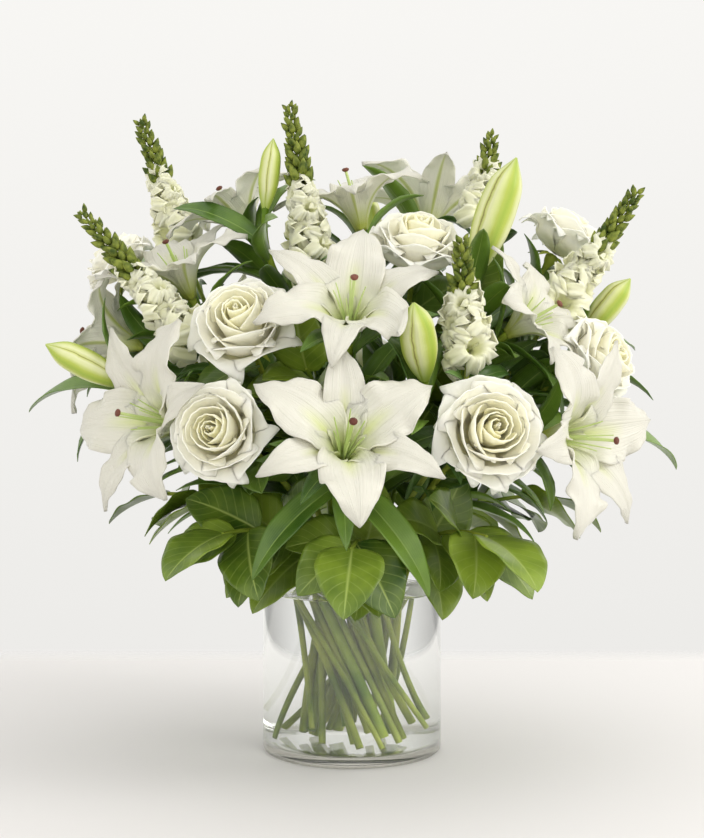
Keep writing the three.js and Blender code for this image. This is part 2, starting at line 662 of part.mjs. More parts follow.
// Snapdragons: buds stand out in threes from the upper stem, and white florets in fours from the lower.
const BUD_COLUMNS = 6;
const BUD_TIERS = 6;
const IN_FLOWER = 0.52; // share of the spire that is in flower
const FLORET_COLUMNS = 8;
const FLORET_TIER = 23; // millimetres from one tier of florets to the next
const SLEEVE = 4.6; // radius of what the florets stand on
const BUD_SIZE = { lowest: 11, highest: 4 };
const FLORET_SIZE = { lowest: 29, highest: 19 };
// A floret's lower lip, mouth and upper lip as shares of its size: how far each stands out, how far it
// lies along the spire, and how far out the skin is between two florets.
const FLORET_RINGS = [
  { far: 0.95, rise: -0.2, near: 0.34 },
  { far: 0.6, rise: 0.06, near: 0.28 },
  { far: 0.82, rise: 0.46, near: 0.32 },
];

// A ring round the spire. Each column has a radius and a distance along the spire.
function spireRing(snap, distance, columns, columnAt) {
  return Array.from({ length: columns }, (_, k) => {
    const [radius, rise] = columnAt(k);
    return around(snap.foot, snap.frame, radius, (360 * k) / columns + snap.turn, distance + rise);
  });
}

const evenRing = (radius) => () => [radius, 0];

SNAPDRAGONS.forEach((snap, index) => {
  const stem = stemNamed[`snapdragon_stem_${index + 1}`];
  snap.foot = toVector(snap.base);
  snap.end = toVector(snap.tip);
  snap.turn = 25 * index;
  snap.length = snap.foot.distanceTo(snap.end);
  snap.frame = frameFor(snap.end.clone().sub(snap.foot));
  stemCurve(stem, snap.foot, snap.frame.along);
  const thin = stem.radius * 0.8;
  const first = (IN_FLOWER + 0.02) * snap.length;
  const rings = [spireRing(snap, first, BUD_COLUMNS, evenRing(thin))];
  for (let tier = 0; tier < BUD_TIERS; tier++) {
    const share = (tier + 1) / BUD_TIERS;
    const size = mix(BUD_SIZE.lowest, BUD_SIZE.highest, share);
    const distance = mix(first, snap.length - 3, share);
    const bud = (k) => ((k + tier) % 2 ? [size, -size * 0.5] : [size * 0.4, -size * 0.7]);
    rings.push(spireRing(snap, distance, BUD_COLUMNS, bud));
    rings.push(spireRing(snap, distance, BUD_COLUMNS, evenRing(size * 0.3)));
  }
  const lower = barRings(stem.points, stem.radii, BUD_COLUMNS);
  addFixed(stem.name, skin([...continued(lower, rings), [snap.end]]));
});

// Each tier of florets has lower lips, mouths and upper lips, and the tiers stand on a thin sleeve.
SNAPDRAGONS.forEach((snap, index) => {
  const zone = IN_FLOWER * snap.length;
  const tiers = Math.round(zone / FLORET_TIER);
  const rings = [spireRing(snap, 0, FLORET_COLUMNS, evenRing(SLEEVE))];
  for (let tier = 0; tier < tiers; tier++) {
    const size = mix(FLORET_SIZE.lowest, FLORET_SIZE.highest, tier / tiers);
    const middle = (zone * (tier + 0.45)) / tiers;
    for (const { far, rise, near } of FLORET_RINGS) {
      const floret = (k) => {
        const grown = 0.9 + 0.2 * vary(index * 7 + tier, k);
        return (k + tier) % 2 ? [size * far * grown, size * rise] : [size * near, size * rise * 0.5];
      };
      rings.push(spireRing(snap, middle, FLORET_COLUMNS, floret));
    }
    rings.push(spireRing(snap, (zone * (tier + 1)) / tiers, FLORET_COLUMNS, evenRing(SLEEVE)));
  }
  const bore = STEM_RADIUS.snap + GAP + 0.1;
  rings.push(spireRing(snap, zone, FLORET_COLUMNS, evenRing(bore)));
  rings.push(spireRing(snap, 0, FLORET_COLUMNS, evenRing(bore)));
  addFixed(`snapdragon_${index + 1}`, skin(rings, { looped: true }));
});

SALAL.forEach((spray, i) => {
  const stem = stemNamed[`salal_${i + 1}`];
  stemCurve(stem, toVector(spray.end), toVector(spray.aim).normalize());
  add(stem.name, bar(stem.points, stem.radii, STEM_SIDES));
});

// Lily blooms, now that everything that their lobes must pass is there.
LILIES.forEach((lily, index) => {
  const attempts = [0, 1, 2, 3, 4, 5].map((k) => {
    const ledge = (attempt) => [-1, 0, 1].map((w) => petalPoint(lily, k, index, attempt, 0.5, w));
    const lobe = (attempt, thickness) =>
      blade([ledge(attempt), ...lobeRows(lily, k, index, attempt)], thickness);
    const found = LOBE_TRIES.find((attempt) => isClear(lobe(attempt, BLADE + 2 * SLACK), [lily.node]));
    if (!found) console.warn(`${lily.node} petal ${k} finds no place`);
    claim(lily.node, lobe(found ?? PLAIN, BLADE));
    return found ?? PLAIN;
  });
  add(lily.node, lilyBloom(lily, index, attempts));
});

// Leaves. Each is tried in a few directions and sizes, and left out where none has room.
const LEAF = {
  salal: { length: 74, width: 50, fold: 0.2, bow: 0.3, rows: [0, 0.34, 0.72, 1] },
  lily: { length: 112, width: 23, fold: 0.4, bow: 0.4, rows: [0, 0.3, 0.68, 1] },
};
const LEAF_TRIES = [];
for (const size of [1, 0.85, 0.7])
  for (const tilt of [0, -18, 18, -36, 36])
    for (const roll of [0, 22, -22, 44, -44, 66, -66])
      LEAF_TRIES.push({ roll, tilt, size });

// Half the leaf's width at a share of its length, as a share of its greatest half width.
function leafOutline(kind, t) {
  const swell = Math.max(0, Math.sin(Math.PI * t ** (kind === "lily" ? 0.8 : 0.7)));
  return swell ** 0.75;
}

// The base is where the leaf grows, ahead is where it points, and facing is where its upper side looks.
function leafPoint(leaf, attempt, t, across, raised = 0) {
  const { length, width, fold, bow } = LEAF[leaf.kind];
  const side = leaf.ahead.clone().cross(leaf.facing).normalize();
  const ahead = leaf.ahead.clone().normalize().applyAxisAngle(side, radians(attempt.tilt));
  const up = side.clone().cross(ahead);
  for (const direction of [side, ahead, up])
    direction.applyAxisAngle(leaf.line, radians(attempt.roll));
  const scale = leaf.size * attempt.size;
  const half = (width / 2) * scale * leafOutline(leaf.kind, t) * across;
  return leaf.base
    .clone()
    .addScaledVector(ahead, length * scale * (t - bow * bow * t * t * t))
    .addScaledVector(up, length * scale * bow * t * (0.55 - t) + Math.abs(half) * fold + raised)
    .addScaledVector(side, half);
}

// A leaf's skin is thick along its rib and thins out to its edges.
function leafSkin(leaf, attempt, rows, thickness) {
  const above = leafPoint(leaf, attempt, 0.5, 0).sub(leafPoint(leaf, attempt, 0.5, 0, -thickness / 2));
  const rings = rows.map((t) => {
    const rib = leafPoint(leaf, attempt, t, 0);
    if (t === 0 || t === 1) return [rib];
    const [left, right] = [-1, 1].map((across) => leafPoint(leaf, attempt, t, across));
    return [left, rib.clone().add(above), right, rib.clone().sub(above)];
  });
  return skin(rings);
}

const LEAF_FREE = 0.07; // share of a leaf, next to its stem, that isn't tried
const lost = []; // the nodes of leaves that find no room

function addLeaf(node, leaf) {
  const rows = LEAF[leaf.kind].rows;
  const tried = [LEAF_FREE, ...rows.slice(1)];
  const free = (attempt, ignored) => isClear(leafSkin(leaf, attempt, tried, RIB + 2 * SLACK), ignored);
  const found = LEAF_TRIES.find((attempt) => free(attempt, [])) ?? LEAF_TRIES.find((a) => free(a, [node]));
  if (found) add(node, leafSkin(leaf, found, rows, RIB));
  else lost.push(node);
}

// The point and direction at a share of a stem above its neck.
function alongStem(stem, share) {
  const points = stem.points.slice(1);
  const spot = clamp(share, 0, 1) * (points.length - 1);
  const i = Math.min(Math.floor(spot), points.length - 2);
  const line = points[i + 1].clone().sub(points[i]).normalize();
  return { base: points[i].clone().lerp(points[i + 1], spot - i), line };
}

// The nearest point on some lines of points, and the direction there.
function nearestOn(lines, target) {
  let nearest = null;
  for (const points of lines)
    for (let i = 0; i < points.length - 1; i++)
      for (const share of [0, 0.25, 0.5, 0.75]) {
        const base = points[i].clone().lerp(points[i + 1], share);
        const away = base.distanceTo(target);
        if (nearest && away >= nearest.away) continue;
        nearest = { base, away, line: points[i + 1].clone().sub(points[i]).normalize() };
      }
  return nearest;
}

// Salal leaves stand alternately left and right of their stem, with one at its end. They turn away from
// it more the lower they grow, and on the sprays that hang over the rim they droop.
const SPRAY = { top: 0.98, step: 0.09, upper: 0.7, lower: 1.5, droop: 0.35, hangsBelow: 250 };

SALAL.forEach((spray, index) => {
  const node = `salal_${index + 1}`;
  const hangs = spray.end[2] < SPRAY.hangsBelow;
  for (let k = 0; k < spray.leaves; k++) {
    const { base, line } = alongStem(stemNamed[node], SPRAY.top - SPRAY.step * k);
    const outward = vec(base.x, base.y, 30).normalize();
    const side = line.clone().cross(outward).normalize();
    const reach = k === 0 ? 0 : mix(SPRAY.upper, SPRAY.lower, k / spray.leaves) * (k % 2 ? 1 : -1);
    const ahead = line.clone().addScaledVector(side, reach).addScaledVector(outward, 0.1);
    if (hangs) ahead.z -= SPRAY.droop + 0.3 * vary(index, k);
    const facing = outward.clone().addScaledVector(UP, 0.6);
    const size = 0.86 + 0.26 * vary(index, k + 40);
    addLeaf(node, { kind: "salal", base, line, ahead, facing, size });
  }
});

// Lily leaves are narrow and pointed. The long ones that show are placed one by one.
const LEAF_SPAN = 0.86; // from a bowed lily leaf's base straight to its tip, as a share of its length

for (const { stem, root, tip } of LONG_LEAVES) {
  const node = `lily_stem_${stem}`;
  const { base, line } = nearestOn(stemNamed[node].lines, toVector(root));
  const ahead = toVector(tip).sub(base);
  const facing = vec(base.x, base.y, 0).normalize().addScaledVector(UP, 1.5);
  const size = ahead.length() / (LEAF_SPAN * LEAF.lily.length);
  addLeaf(node, { kind: "lily", base, line, ahead, facing, size });
}

LILY_STEMS.forEach((entry, index) => {
  const node = `lily_stem_${entry.name}`;
  for (let k = 0; k < SHORT_LEAVES; k++) {
    const { base, line } = alongStem(stemNamed[node], 0.97 - 0.12 * k);
    const out = around(vec(0, 0, 0), frameFor(line), 1, GOLDEN * k + 70 * index, 0);
    const ahead = out.clone().multiplyScalar(1.25).addScaledVector(line, 0.7);
    const facing = line.clone().addScaledVector(out, -0.3);
    addLeaf(node, { kind: "lily", base, line, ahead, facing, size: 0.9 + 0.3 * vary(index, k) });
  }
});
if (lost.length) console.warn(`leaves left out: ${lost.join(", ")}`);

// The vase and the water in it, turned from profiles that start and end on the axis. Each profile gives
// radii and heights. The points that the turned surface repeats at its seam and on the axis are merged.
const MERGE = 0.001; // millimetres within which two points are one

function lathe(profile) {
  const outline = profile.map(([radius, height]) => new THREE.Vector2(radius, height));
  const turned = new THREE.LatheGeometry(outline, VASE.sides);
  turned.rotateX(Math.PI / 2);
  turned.deleteAttribute("normal");
  turned.deleteAttribute("uv");
  const { attributes, index } = mergeVertices(turned, MERGE);
  const points = Array.from({ length: attributes.position.count }, (_, i) =>
    new THREE.Vector3().fromBufferAttribute(attributes.position, i),
  );
  const triangles = [];
  for (let i = 0; i < index.count; i += 3) {
    const corners = [index.getX(i), index.getX(i + 1), index.getX(i + 2)];
    if (new Set(corners).size === 3) triangles.push(corners);
  }
  return solidOf(points, triangles);
}

const RIM =VASE.height - 1.5; // where the rim starts to round over
const inside = VASE.radius - VASE.wall;
parts.set("vase", [
  lathe([
    [0, 0], [VASE.radius - VASE.corner, 0], [VASE.radius, VASE.corner], [VASE.radius, RIM],
    [VASE.radius - VASE.wall / 2, VASE.height], [inside, RIM],
    [inside, VASE.floor + VASE.corner], [inside - VASE.corner, VASE.floor], [0, VASE.floor],
  ]),
]);

let water = lathe([
  [0, VASE.floor + GAP], [inside - VASE.corner - GAP, VASE.floor + GAP],
  [inside - GAP, VASE.floor + VASE.corner + GAP], [inside - GAP, WATER_LEVEL], [0, WATER_LEVEL],
]);
for (const stem of stems) {
  const sides = stem.kind === "snap" ? BUD_COLUMNS : STEM_SIDES;
  const hole = bar([stem.foot, stem.neck], [stem.radius, stem.radius], sides, GAP + 0.1);
  water = water.subtract(hole);
}
parts.set("water", [water]);

// One named mesh for each node, holding the largest body of its joined solids.
function largestBody(node, solid) {
  const bodies = solid.decompose();
  if (bodies.length > 1) console.warn(`${node} comes out in ${bodies.length} bodies`);
  return bodies.reduce((best, body) => (body.volume() > best.volume() ? body : best));
}

function geometryOf(solid) {
  const mesh = solid.getMesh();
  const geometry = new THREE.BufferGeometry();
  geometry.setAttribute("position", new THREE.BufferAttribute(mesh.vertProperties, 3));
  geometry.setIndex(new THREE.BufferAttribute(mesh.triVerts, 1));
  return geometry;
}

function colourOf(node) {
  const kinds = Object.keys(COLOUR).sort((a, b) => b.length - a.length);
  return COLOUR[kinds.find((kind) => node.startsWith(kind))];
}

const group = new THREE.Group();
for (const [node, solids] of parts) {
  const mesh = new THREE.Mesh(
    geometryOf(largestBody(node, joined(solids))),
    new THREE.MeshStandardMaterial(colourOf(node)),
  );
  mesh.name = node;
  group.add(mesh);
}

export default group;
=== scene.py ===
# White lilies, cream roses and white snapdragons with salal leaves, in a clear glass cylinder of water.
# Flower places are in millimetres from the middle of the vase's underside, and the front of the bunch
# faces -Y. They become metres when a mesh is made.

import json
import math

import bpy
import numpy as np
from mathutils.bvhtree import BVHTree
from mathutils.kdtree import KDTree
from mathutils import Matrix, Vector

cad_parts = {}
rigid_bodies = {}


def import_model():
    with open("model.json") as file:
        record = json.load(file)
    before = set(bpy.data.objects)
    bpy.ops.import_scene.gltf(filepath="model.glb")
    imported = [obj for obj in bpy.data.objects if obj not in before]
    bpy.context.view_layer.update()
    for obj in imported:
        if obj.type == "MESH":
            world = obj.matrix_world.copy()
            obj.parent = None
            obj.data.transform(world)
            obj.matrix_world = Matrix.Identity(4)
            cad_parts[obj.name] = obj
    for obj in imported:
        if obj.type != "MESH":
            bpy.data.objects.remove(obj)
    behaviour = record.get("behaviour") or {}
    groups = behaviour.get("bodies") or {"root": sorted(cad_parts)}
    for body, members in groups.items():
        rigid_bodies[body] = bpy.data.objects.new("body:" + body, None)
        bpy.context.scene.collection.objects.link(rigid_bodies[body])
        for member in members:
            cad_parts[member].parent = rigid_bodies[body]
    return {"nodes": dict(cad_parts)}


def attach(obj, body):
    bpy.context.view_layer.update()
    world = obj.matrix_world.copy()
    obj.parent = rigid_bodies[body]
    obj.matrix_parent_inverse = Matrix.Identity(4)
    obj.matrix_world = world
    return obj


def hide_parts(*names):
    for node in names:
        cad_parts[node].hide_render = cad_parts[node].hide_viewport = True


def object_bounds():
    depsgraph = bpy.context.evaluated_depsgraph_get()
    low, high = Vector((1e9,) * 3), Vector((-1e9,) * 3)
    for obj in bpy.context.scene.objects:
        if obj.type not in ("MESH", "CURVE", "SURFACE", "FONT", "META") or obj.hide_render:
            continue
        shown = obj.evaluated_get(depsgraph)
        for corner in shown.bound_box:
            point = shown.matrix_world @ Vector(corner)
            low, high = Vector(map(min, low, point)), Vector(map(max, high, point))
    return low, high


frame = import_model()
cad_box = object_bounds()

# View, floor and light.
# The camera stands level with the lower blooms and looks slightly down. The floor is a pale sheet that
# ends a little way behind the vase, against a pale wall. One large soft light stands to the right and a
# weaker one low in front.
CAMERA = {"place": (0.0, -1.39, 0.339), "tilt": math.radians(87.65), "lens": 70.3, "sensor": 36.0}
LIGHTS = {
    "key_light": {"place": (1.9, -0.75, 1.5), "size": 1.1, "watts": 22.0, "colour": (1.0, 0.985, 0.955)},
    "fill_light": {"place": (-0.4, -2.3, 0.15), "size": 2.0, "watts": 13.5, "colour": (1.0, 0.99, 0.965)},
}
LIT_PLACE = (0.0, 0.0, 0.28)
BACKDROP = (0.935, 0.925, 0.9)
WALL = {"low": -0.17, "high": 0.2, "dimmed": 0.905}
FLAGS = {"from": 0.25, "to": 0.7, "dark": 0.66}
AMBIENT = 1.18
FLOOR = {"colour": (0.745, 0.728, 0.72), "roughness": 0.7, "half": 6.0, "drop": 0.0002, "ends": (0.4, 0.46)}

scene = bpy.context.scene
scene.view_settings.view_transform = "Standard"


def add_node(tree, kind, inputs=None, **settings):
    """A node. Its inputs are values, sockets, or other nodes, which give their first output."""
    node = tree.nodes.new(kind)
    for name, value in settings.items():
        setattr(node, name, value)
    for name, value in (inputs or {}).items():
        if isinstance(value, bpy.types.Node):
            value = value.outputs[0]
        if isinstance(value, bpy.types.NodeSocket):
            tree.links.new(value, node.inputs[name])
        else:
            node.inputs[name].default_value = value
    return node


def maths(tree, operation, *values):
    return add_node(tree, "ShaderNodeMath", dict(enumerate(values)), operation=operation).outputs[0]


def map_range(tree, value, start, end, low=0.0, high=1.0):
    inputs = {"Value": value, "From Min": start, "From Max": end, "To Min": low, "To Max": high}
    return add_node(tree, "ShaderNodeMapRange", inputs).outputs[0]


def split(tree, vector):
    return add_node(tree, "ShaderNodeSeparateXYZ", {0: vector}).outputs


def object_place(tree):
    return add_node(tree, "ShaderNodeTexCoord").outputs["Object"]


def new_material(name):
    made = bpy.data.materials.new(name)
    made.use_nodes = True
    made.node_tree.nodes.clear()
    return made, made.node_tree


def set_surface(tree, shader):
    add_node(tree, "ShaderNodeOutputMaterial", {"Surface": shader})


def in_scene(name, data):
    made = bpy.data.objects.new(name, data)
    scene.collection.objects.link(made)
    return made


camera_data = bpy.data.cameras.new("camera")
camera_data.lens = CAMERA["lens"]
camera_data.sensor_width = CAMERA["sensor"]
camera = in_scene("camera", camera_data)
camera.location = CAMERA["place"]
camera.rotation_euler = (CAMERA["tilt"], 0.0, 0.0)
scene.camera = camera

for light_name, light in LIGHTS.items():
    lamp_data = bpy.data.lights.new(light_name, "AREA")
    lamp_data.size = light["size"]
    lamp_data.energy = light["watts"]
    lamp_data.color = light["colour"]
    lamp = in_scene(light_name, lamp_data)
    lamp.location = light["place"]
    x, y, z = np.subtract(LIT_PLACE, light["place"])
    lamp.rotation_euler = (math.atan2(math.hypot(x, y), -z), 0.0, math.atan2(y, x) - math.pi / 2)

world = bpy.data.worlds.new("studio")
world.use_nodes = True
tree = world.node_tree
tree.nodes.clear()
rays = add_node(tree, "ShaderNodeLightPath").outputs
seen = maths(tree, "MAXIMUM", rays["Is Camera Ray"], rays["Is Singular Ray"])
ambient = maths(tree, "MULTIPLY_ADD", seen, 1.0 - AMBIENT, AMBIENT)
aim = split(tree, add_node(tree, "ShaderNodeTexCoord").outputs["Generated"])
graded = map_range(tree, aim["Z"], WALL["low"], WALL["high"], WALL["dimmed"], 1.0)
# Dark flags stand at both sides, as a photographer sets them, so that clear glass shows grey edges.
flagged = map_range(tree, maths(tree, "ABSOLUTE", aim["X"]), FLAGS["from"], FLAGS["to"], 0.0, FLAGS["dark"])
lit = maths(tree, "SUBTRACT", graded, maths(tree, "MULTIPLY", rays["Is Singular Ray"], flagged))
strength = maths(tree, "MULTIPLY", ambient, lit)
sky = add_node(tree, "ShaderNodeBackground", {"Color": (*BACKDROP, 1.0), "Strength": strength})
add_node(tree, "ShaderNodeOutputWorld", {"Surface": sky})
scene.world = world

floor_material, tree = new_material("floor_sheet")
behind = map_range(tree, split(tree, object_place(tree))["Y"], *FLOOR["ends"])
floor_look = {"Base Color": (*FLOOR["colour"], 1.0), "Roughness": FLOOR["roughness"]}
sheet = add_node(tree, "ShaderNodeBsdfPrincipled", floor_look)
nothing = add_node(tree, "ShaderNodeBsdfTransparent")
set_surface(tree, add_node(tree, "ShaderNodeMixShader", {0: behind, 1: sheet, 2: nothing}))
half = FLOOR["half"]
floor_mesh = bpy.data.meshes.new("floor")
floor_mesh.from_pydata(
    [(x * half, y * half, -FLOOR["drop"]) for x, y in ((-1, -1), (1, -1), (1, 1), (-1, 1))], [], [(0, 1, 2, 3)]
)
floor_mesh.materials.append(floor_material)
floor = in_scene("floor", floor_mesh)

# The vase.
# A blown glass cylinder with a thick flat base and a rounded rim, six inches across and high. It stands
# on its underside. Its thick base and its rim have painted shade: their colour is greyer than the wall's.
VASE = {"radius": 76.0, "height": 150.0, "wall": 4.0, "floor": 9.0, "corner": 4.0, "sides": 128}
ARC_STEPS = 6
BRACE = 0.4
TO_METRES = 0.001
DEEPEST = 7.5
GLASS = {"colour": (0.98, 0.987, 0.984), "refraction": 1.5}
# The glass's colour at shares of its height, with painted shade: greyer at the base and at the rim.
GLASS_PAINTED_SHADE = [
    (0.0, (0.3, 0.29, 0.24)),
    (0.012, (0.42, 0.41, 0.35)),
    (0.035, (0.72, 0.71, 0.66)),
    (0.055, (0.66, 0.65, 0.6)),
    (0.085, GLASS["colour"]),
    (0.96, GLASS["colour"]),
    (1.0, (0.6, 0.6, 0.57)),
]


def arc(middle, radius, start, end, steps=ARC_STEPS):
    """Points on an arc in the plane of radius and height, its angles in degrees."""
    angles = np.radians(np.linspace(start, end, steps + 1))
    return [(middle[0] + radius * math.cos(a), middle[1] + radius * math.sin(a)) for a in angles]


def turned(profile, sides):
    """Vertices and faces of a profile turned about the axis. It starts and ends on the axis. Each long run of
    it gets a ring close to both its ends, so that its smooth shading stays true and doesn't bend the view."""
    braced = [profile[0]]
    for a, b in zip(profile, profile[1:]):
        length = math.dist(a, b)
        if length > 5 * BRACE:
            for share in (BRACE / length, 1 - BRACE / length):
                braced.append((a[0] + (b[0] - a[0]) * share, a[1] + (b[1] - a[1]) * share))
        braced.append(b)
    vertices = []
    starts = []
    for radius, height in braced:
        starts.append(len(vertices))
        for k in range(1 if radius == 0 else sides):
            angle = 2 * math.pi * k / sides
            vertices.append((radius * math.cos(angle), radius * math.sin(angle), height))
    faces = []
    for i in range(len(braced) - 1):
        a, b = starts[i : i + 2]
        # A ring on the axis is one point, so its steps are none.
        low, high = (0 if radius == 0 else 1 for radius, _ in braced[i : i + 2])
        for k in range(sides):
            n = (k + 1) % sides
            faces.append([*dict.fromkeys((a + low * k, a + low * n, b + high * n, b + high * k))])
    return np.array(vertices), faces


def plain_mesh(name, vertices, faces, uv=None):
    """A mesh of points in millimetres, each with its texture place."""
    mesh = bpy.data.meshes.new(name)
    mesh.from_pydata((np.asarray(vertices) * TO_METRES).tolist(), [], faces)
    if uv is not None:
        corner_of = np.zeros(len(mesh.loops), int)
        mesh.loops.foreach_get("vertex_index", corner_of)
        mesh.uv_layers.new(name="uv").data.foreach_set("uv", np.asarray(uv)[corner_of].ravel())
    return mesh


def finish_piece(piece, slot, *nodes):
    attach(piece, "root")
    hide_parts(*nodes)
    return piece


def make_piece(name, vertices, faces, material, slot, *nodes, uv=None, shade=None):
    """One smooth mesh, riding on the model and standing for CAD nodes."""
    mesh = plain_mesh(name, vertices, faces, uv)
    mesh.polygons.foreach_set("use_smooth", [True] * len(mesh.polygons))
    if shade is not None:
        mesh.attributes.new("shade", "FLOAT", "POINT").data.foreach_set("value", np.asarray(shade, float))
    mesh.materials.append(material)
    return finish_piece(in_scene(name, mesh), slot, *nodes)


def ramp(tree, value, stops):
    """A colour that runs through stops, each a value and its colour, in rising order."""
    node = add_node(tree, "ShaderNodeValToRGB", {"Fac": value})
    elements = node.color_ramp.elements
    for element, (spot, colour) in zip(elements, (stops[0], stops[-1])):
        element.position, element.color = spot, (*colour, 1.0)
    for spot, colour in stops[1:-1]:
        elements.new(spot).color = (*colour, 1.0)
    return node.outputs["Color"]


def clear_material(name, colour, refraction, painted_shade=()):
    """Glass or water. Shadow rays pass straight through it, and so do rays that have been caught in it for
    long, which would otherwise end in black."""
    made, tree = new_material(name)
    own = (*colour, 1.0)
    # Painted shade: up the vase's height, the colour runs through greyer stops at the base and at the rim.
    if painted_shade:
        height = maths(tree, "MULTIPLY", split(tree, object_place(tree))["Z"], 1 / (VASE["height"] * TO_METRES))
        own = ramp(tree, height, painted_shade)
    look = {"Base Color": own, "Roughness": 0.0, "IOR": refraction, "Transmission Weight": 1.0}
    body = add_node(tree, "ShaderNodeBsdfPrincipled", look)
    rays = add_node(tree, "ShaderNodeLightPath").outputs
    lost = maths(tree, "GREATER_THAN", rays["Ray Depth"], DEEPEST)
    passing = maths(tree, "ADD", rays["Is Shadow Ray"], lost)
    through = add_node(tree, "ShaderNodeBsdfTransparent", {"Color": (*colour, 1.0)})
    set_surface(tree, add_node(tree, "ShaderNodeMixShader", {0: passing, 1: body, 2: through}))
    return made


inside = VASE["radius"] - VASE["wall"]
rim = VASE["wall"] / 2
corner = VASE["corner"]
vase_profile = [
    (0, 0),
    *arc((VASE["radius"] - corner, corner), corner, -90, 0),
    *arc((VASE["radius"] - rim, VASE["height"] - rim), rim, 0, 180, 2 * ARC_STEPS),
    *arc((inside - corner, VASE["floor"] + corner), corner, 0, -90),
    (0, VASE["floor"]),
]
glass = clear_material("clear_glass", GLASS["colour"], GLASS["refraction"], GLASS_PAINTED_SHADE)
make_piece("vase_glass", *turned(vase_profile, VASE["sides"]), glass, "glass", "vase")

# The water.
# It fills the vase nearly to the rim and climbs the glass a little at its edge. It runs a hair into the
# glass all round, so that no film of air shows between them.
WATER = {"level": 136.0, "into_glass": 0.15, "colour": (0.995, 0.998, 0.995), "refraction": 1.33}
# How high it stands above its level at some distances from its edge.
MENISCUS = [(0.0, 1.6), (1.2, 0.48), (3.5, 0.0)]
wet = inside + WATER["into_glass"]
water_profile = [
    (0, VASE["floor"] - WATER["into_glass"]),
    *arc((inside - corner, VASE["floor"] + corner), corner + WATER["into_glass"], -90, 0),
    *((wet - inward, WATER["level"] + climb) for inward, climb in MENISCUS),
    (0, WATER["level"]),
]
still_water = clear_material("still_water", WATER["colour"], WATER["refraction"])
make_piece("vase_water", *turned(water_profile, VASE["sides"]), still_water, "water", "water")

# How the stems run.
# Thirty stems stand in the water. Each runs straight from its foot to its neck at the rim, all leaning the
# same way round so that they pass one another, and then curves up to what it carries.
GAP = 0.3
NECK = {"height": 150.0, "reach": 54.0, "spacing": 11.0, "drift": 22.0, "aimed_from": 110.0, "rounds": 80}
FOOT = {"turn": 104.0, "spread": 1.12, "shortened": 0.12, "height": VASE["floor"] + GAP + 1}
STEM_RADIUS = {"lily": 4.2, "rose": 2.9, "snap": 2.5, "salal": 2.1, "stalk": 2.6}
TAPER = 0.04
HANDLE = 0.38
STEM_CUTS = 28
# The solids' stems have so many sides and straight pieces.
CAD_STEM = {"sides": 5, "pieces": 4}
BELOW_NECK = (0, 0.25, 0.5, 0.75)
LEAF_GLOW = (0.002, 0.003, 0.001)
UP = np.array([0.0, 0.0, 1.0])

LILY_STEMS = [
    ("front", (4, -58, 226)),
    ("left", (-78, -14, 250)),
    ("right", (84, -22, 248)),
    ("top", (-30, 26, 330)),
    ("back", (16, 84, 262)),
]
# Each rose: the middle of the bloom, the way it faces, its turn in degrees and its radius.
ROSES = [
    ((-101, -160, 279), (-0.28, -0.94, 0.2), 20, 37),
    ((103, -165, 279), (0.2, -0.95, 0.24), 70, 41),
    ((-85, -118, 360), (-0.2, -0.78, 0.6), 0, 40),
    ((54, -38, 428), (0.12, -0.42, 0.9), 45, 39),
    ((206, -44, 334), (0.76, -0.5, 0.4), 10, 36),
    ((191, 66, 443), (0.56, 0.05, 0.83), 30, 35),
    ((-206, 30, 422), (-0.6, 0, 0.8), 60, 30),
    ((10, 182, 318), (0, 0.95, 0.3), 15, 38),
    ((-186, 100, 290), (-0.8, 0.5, 0.25), 50, 36),
]
# Each snapdragon: where its open florets begin, and its tip.
SNAPDRAGONS = [
    ((-122, -64, 340), (-226, -44, 458)),
    ((-150, 96, 428), (-192, 98, 552)),
    ((-30, -22, 400), (-54, -2, 552)),
    ((90, -112, 326), (84, -124, 430)),
    ((110, 56, 450), (124, 60, 533)),
    ((168, -2, 368), (246, 4, 480)),
    ((-34, 128, 360), (-60, 206, 452)),
]
# Each salal stem: its end, the way that points, and its number of leaves.
SALAL = [
    ((-100, -128, 198), (-0.6, -0.75, -0.1), 9),
    ((0, -158, 190), (-0.1, -1, -0.15), 9),
    ((104, -130, 196), (0.5, -0.8, -0.1), 9),
    ((162, 30, 214), (1, 0.2, 0), 7),
    ((-160, 26, 216), (-1, 0.1, 0), 7),
    ((-60, 150, 206), (-0.3, 0.9, 0), 7),
    ((84, 146, 206), (0.5, 0.85, 0), 7),
    ((-36, -92, 326), (-0.3, -0.75, 0.6), 8),
    ((96, 10, 388), (0.5, -0.2, 0.85), 8),
]
ROSE_DEPTH = 22.0
SWAYS = [(0.0, 0.0)] + [
    (reach * math.cos(k * math.pi / 4), reach * math.sin(k * math.pi / 4))
    for reach in (12, 22, 34, 48, 64)
    for k in range(8)
]


def unit(vector):
    vector = np.asarray(vector, float)
    return vector / np.linalg.norm(vector)


def mix(a, b, share):
    return a + (b - a) * share


def vary(a, b):
    """A fixed number from 0 to 1 for each pair of seeds."""
    n = math.sin(a * 12.9898 + b * 78.233) * 43758.5453
    return n - math.floor(n)


def frame_for(direction):
    """Three directions at right angles: along, and two across, the first as upright as it can be."""
    along = unit(direction)
    reference = np.array([0.0, 1.0, 0.0]) if abs(along[2]) > 0.985 else UP
    rise = unit(reference - along * (reference @ along))
    return along, rise, np.cross(along, rise)


def around(place, axes, radius, degrees, height):
    """The point at a radius, an angle and a height from a place. Any of the three may be an array."""
    along, rise, side = axes
    angle = np.radians(degrees)
    radius, angle, height = np.broadcast_arrays(radius, angle, height)
    return (
        np.asarray(place, float)
        + (radius * np.cos(angle))[..., None] * rise
        + (radius * np.sin(angle))[..., None] * side
        + np.asarray(height, float)[..., None] * along
    )


def spoke(axes, degrees, length=1.0):
    """The direction across some axes at an angle."""
    return around((0, 0, 0), axes, length, degrees, 0.0)


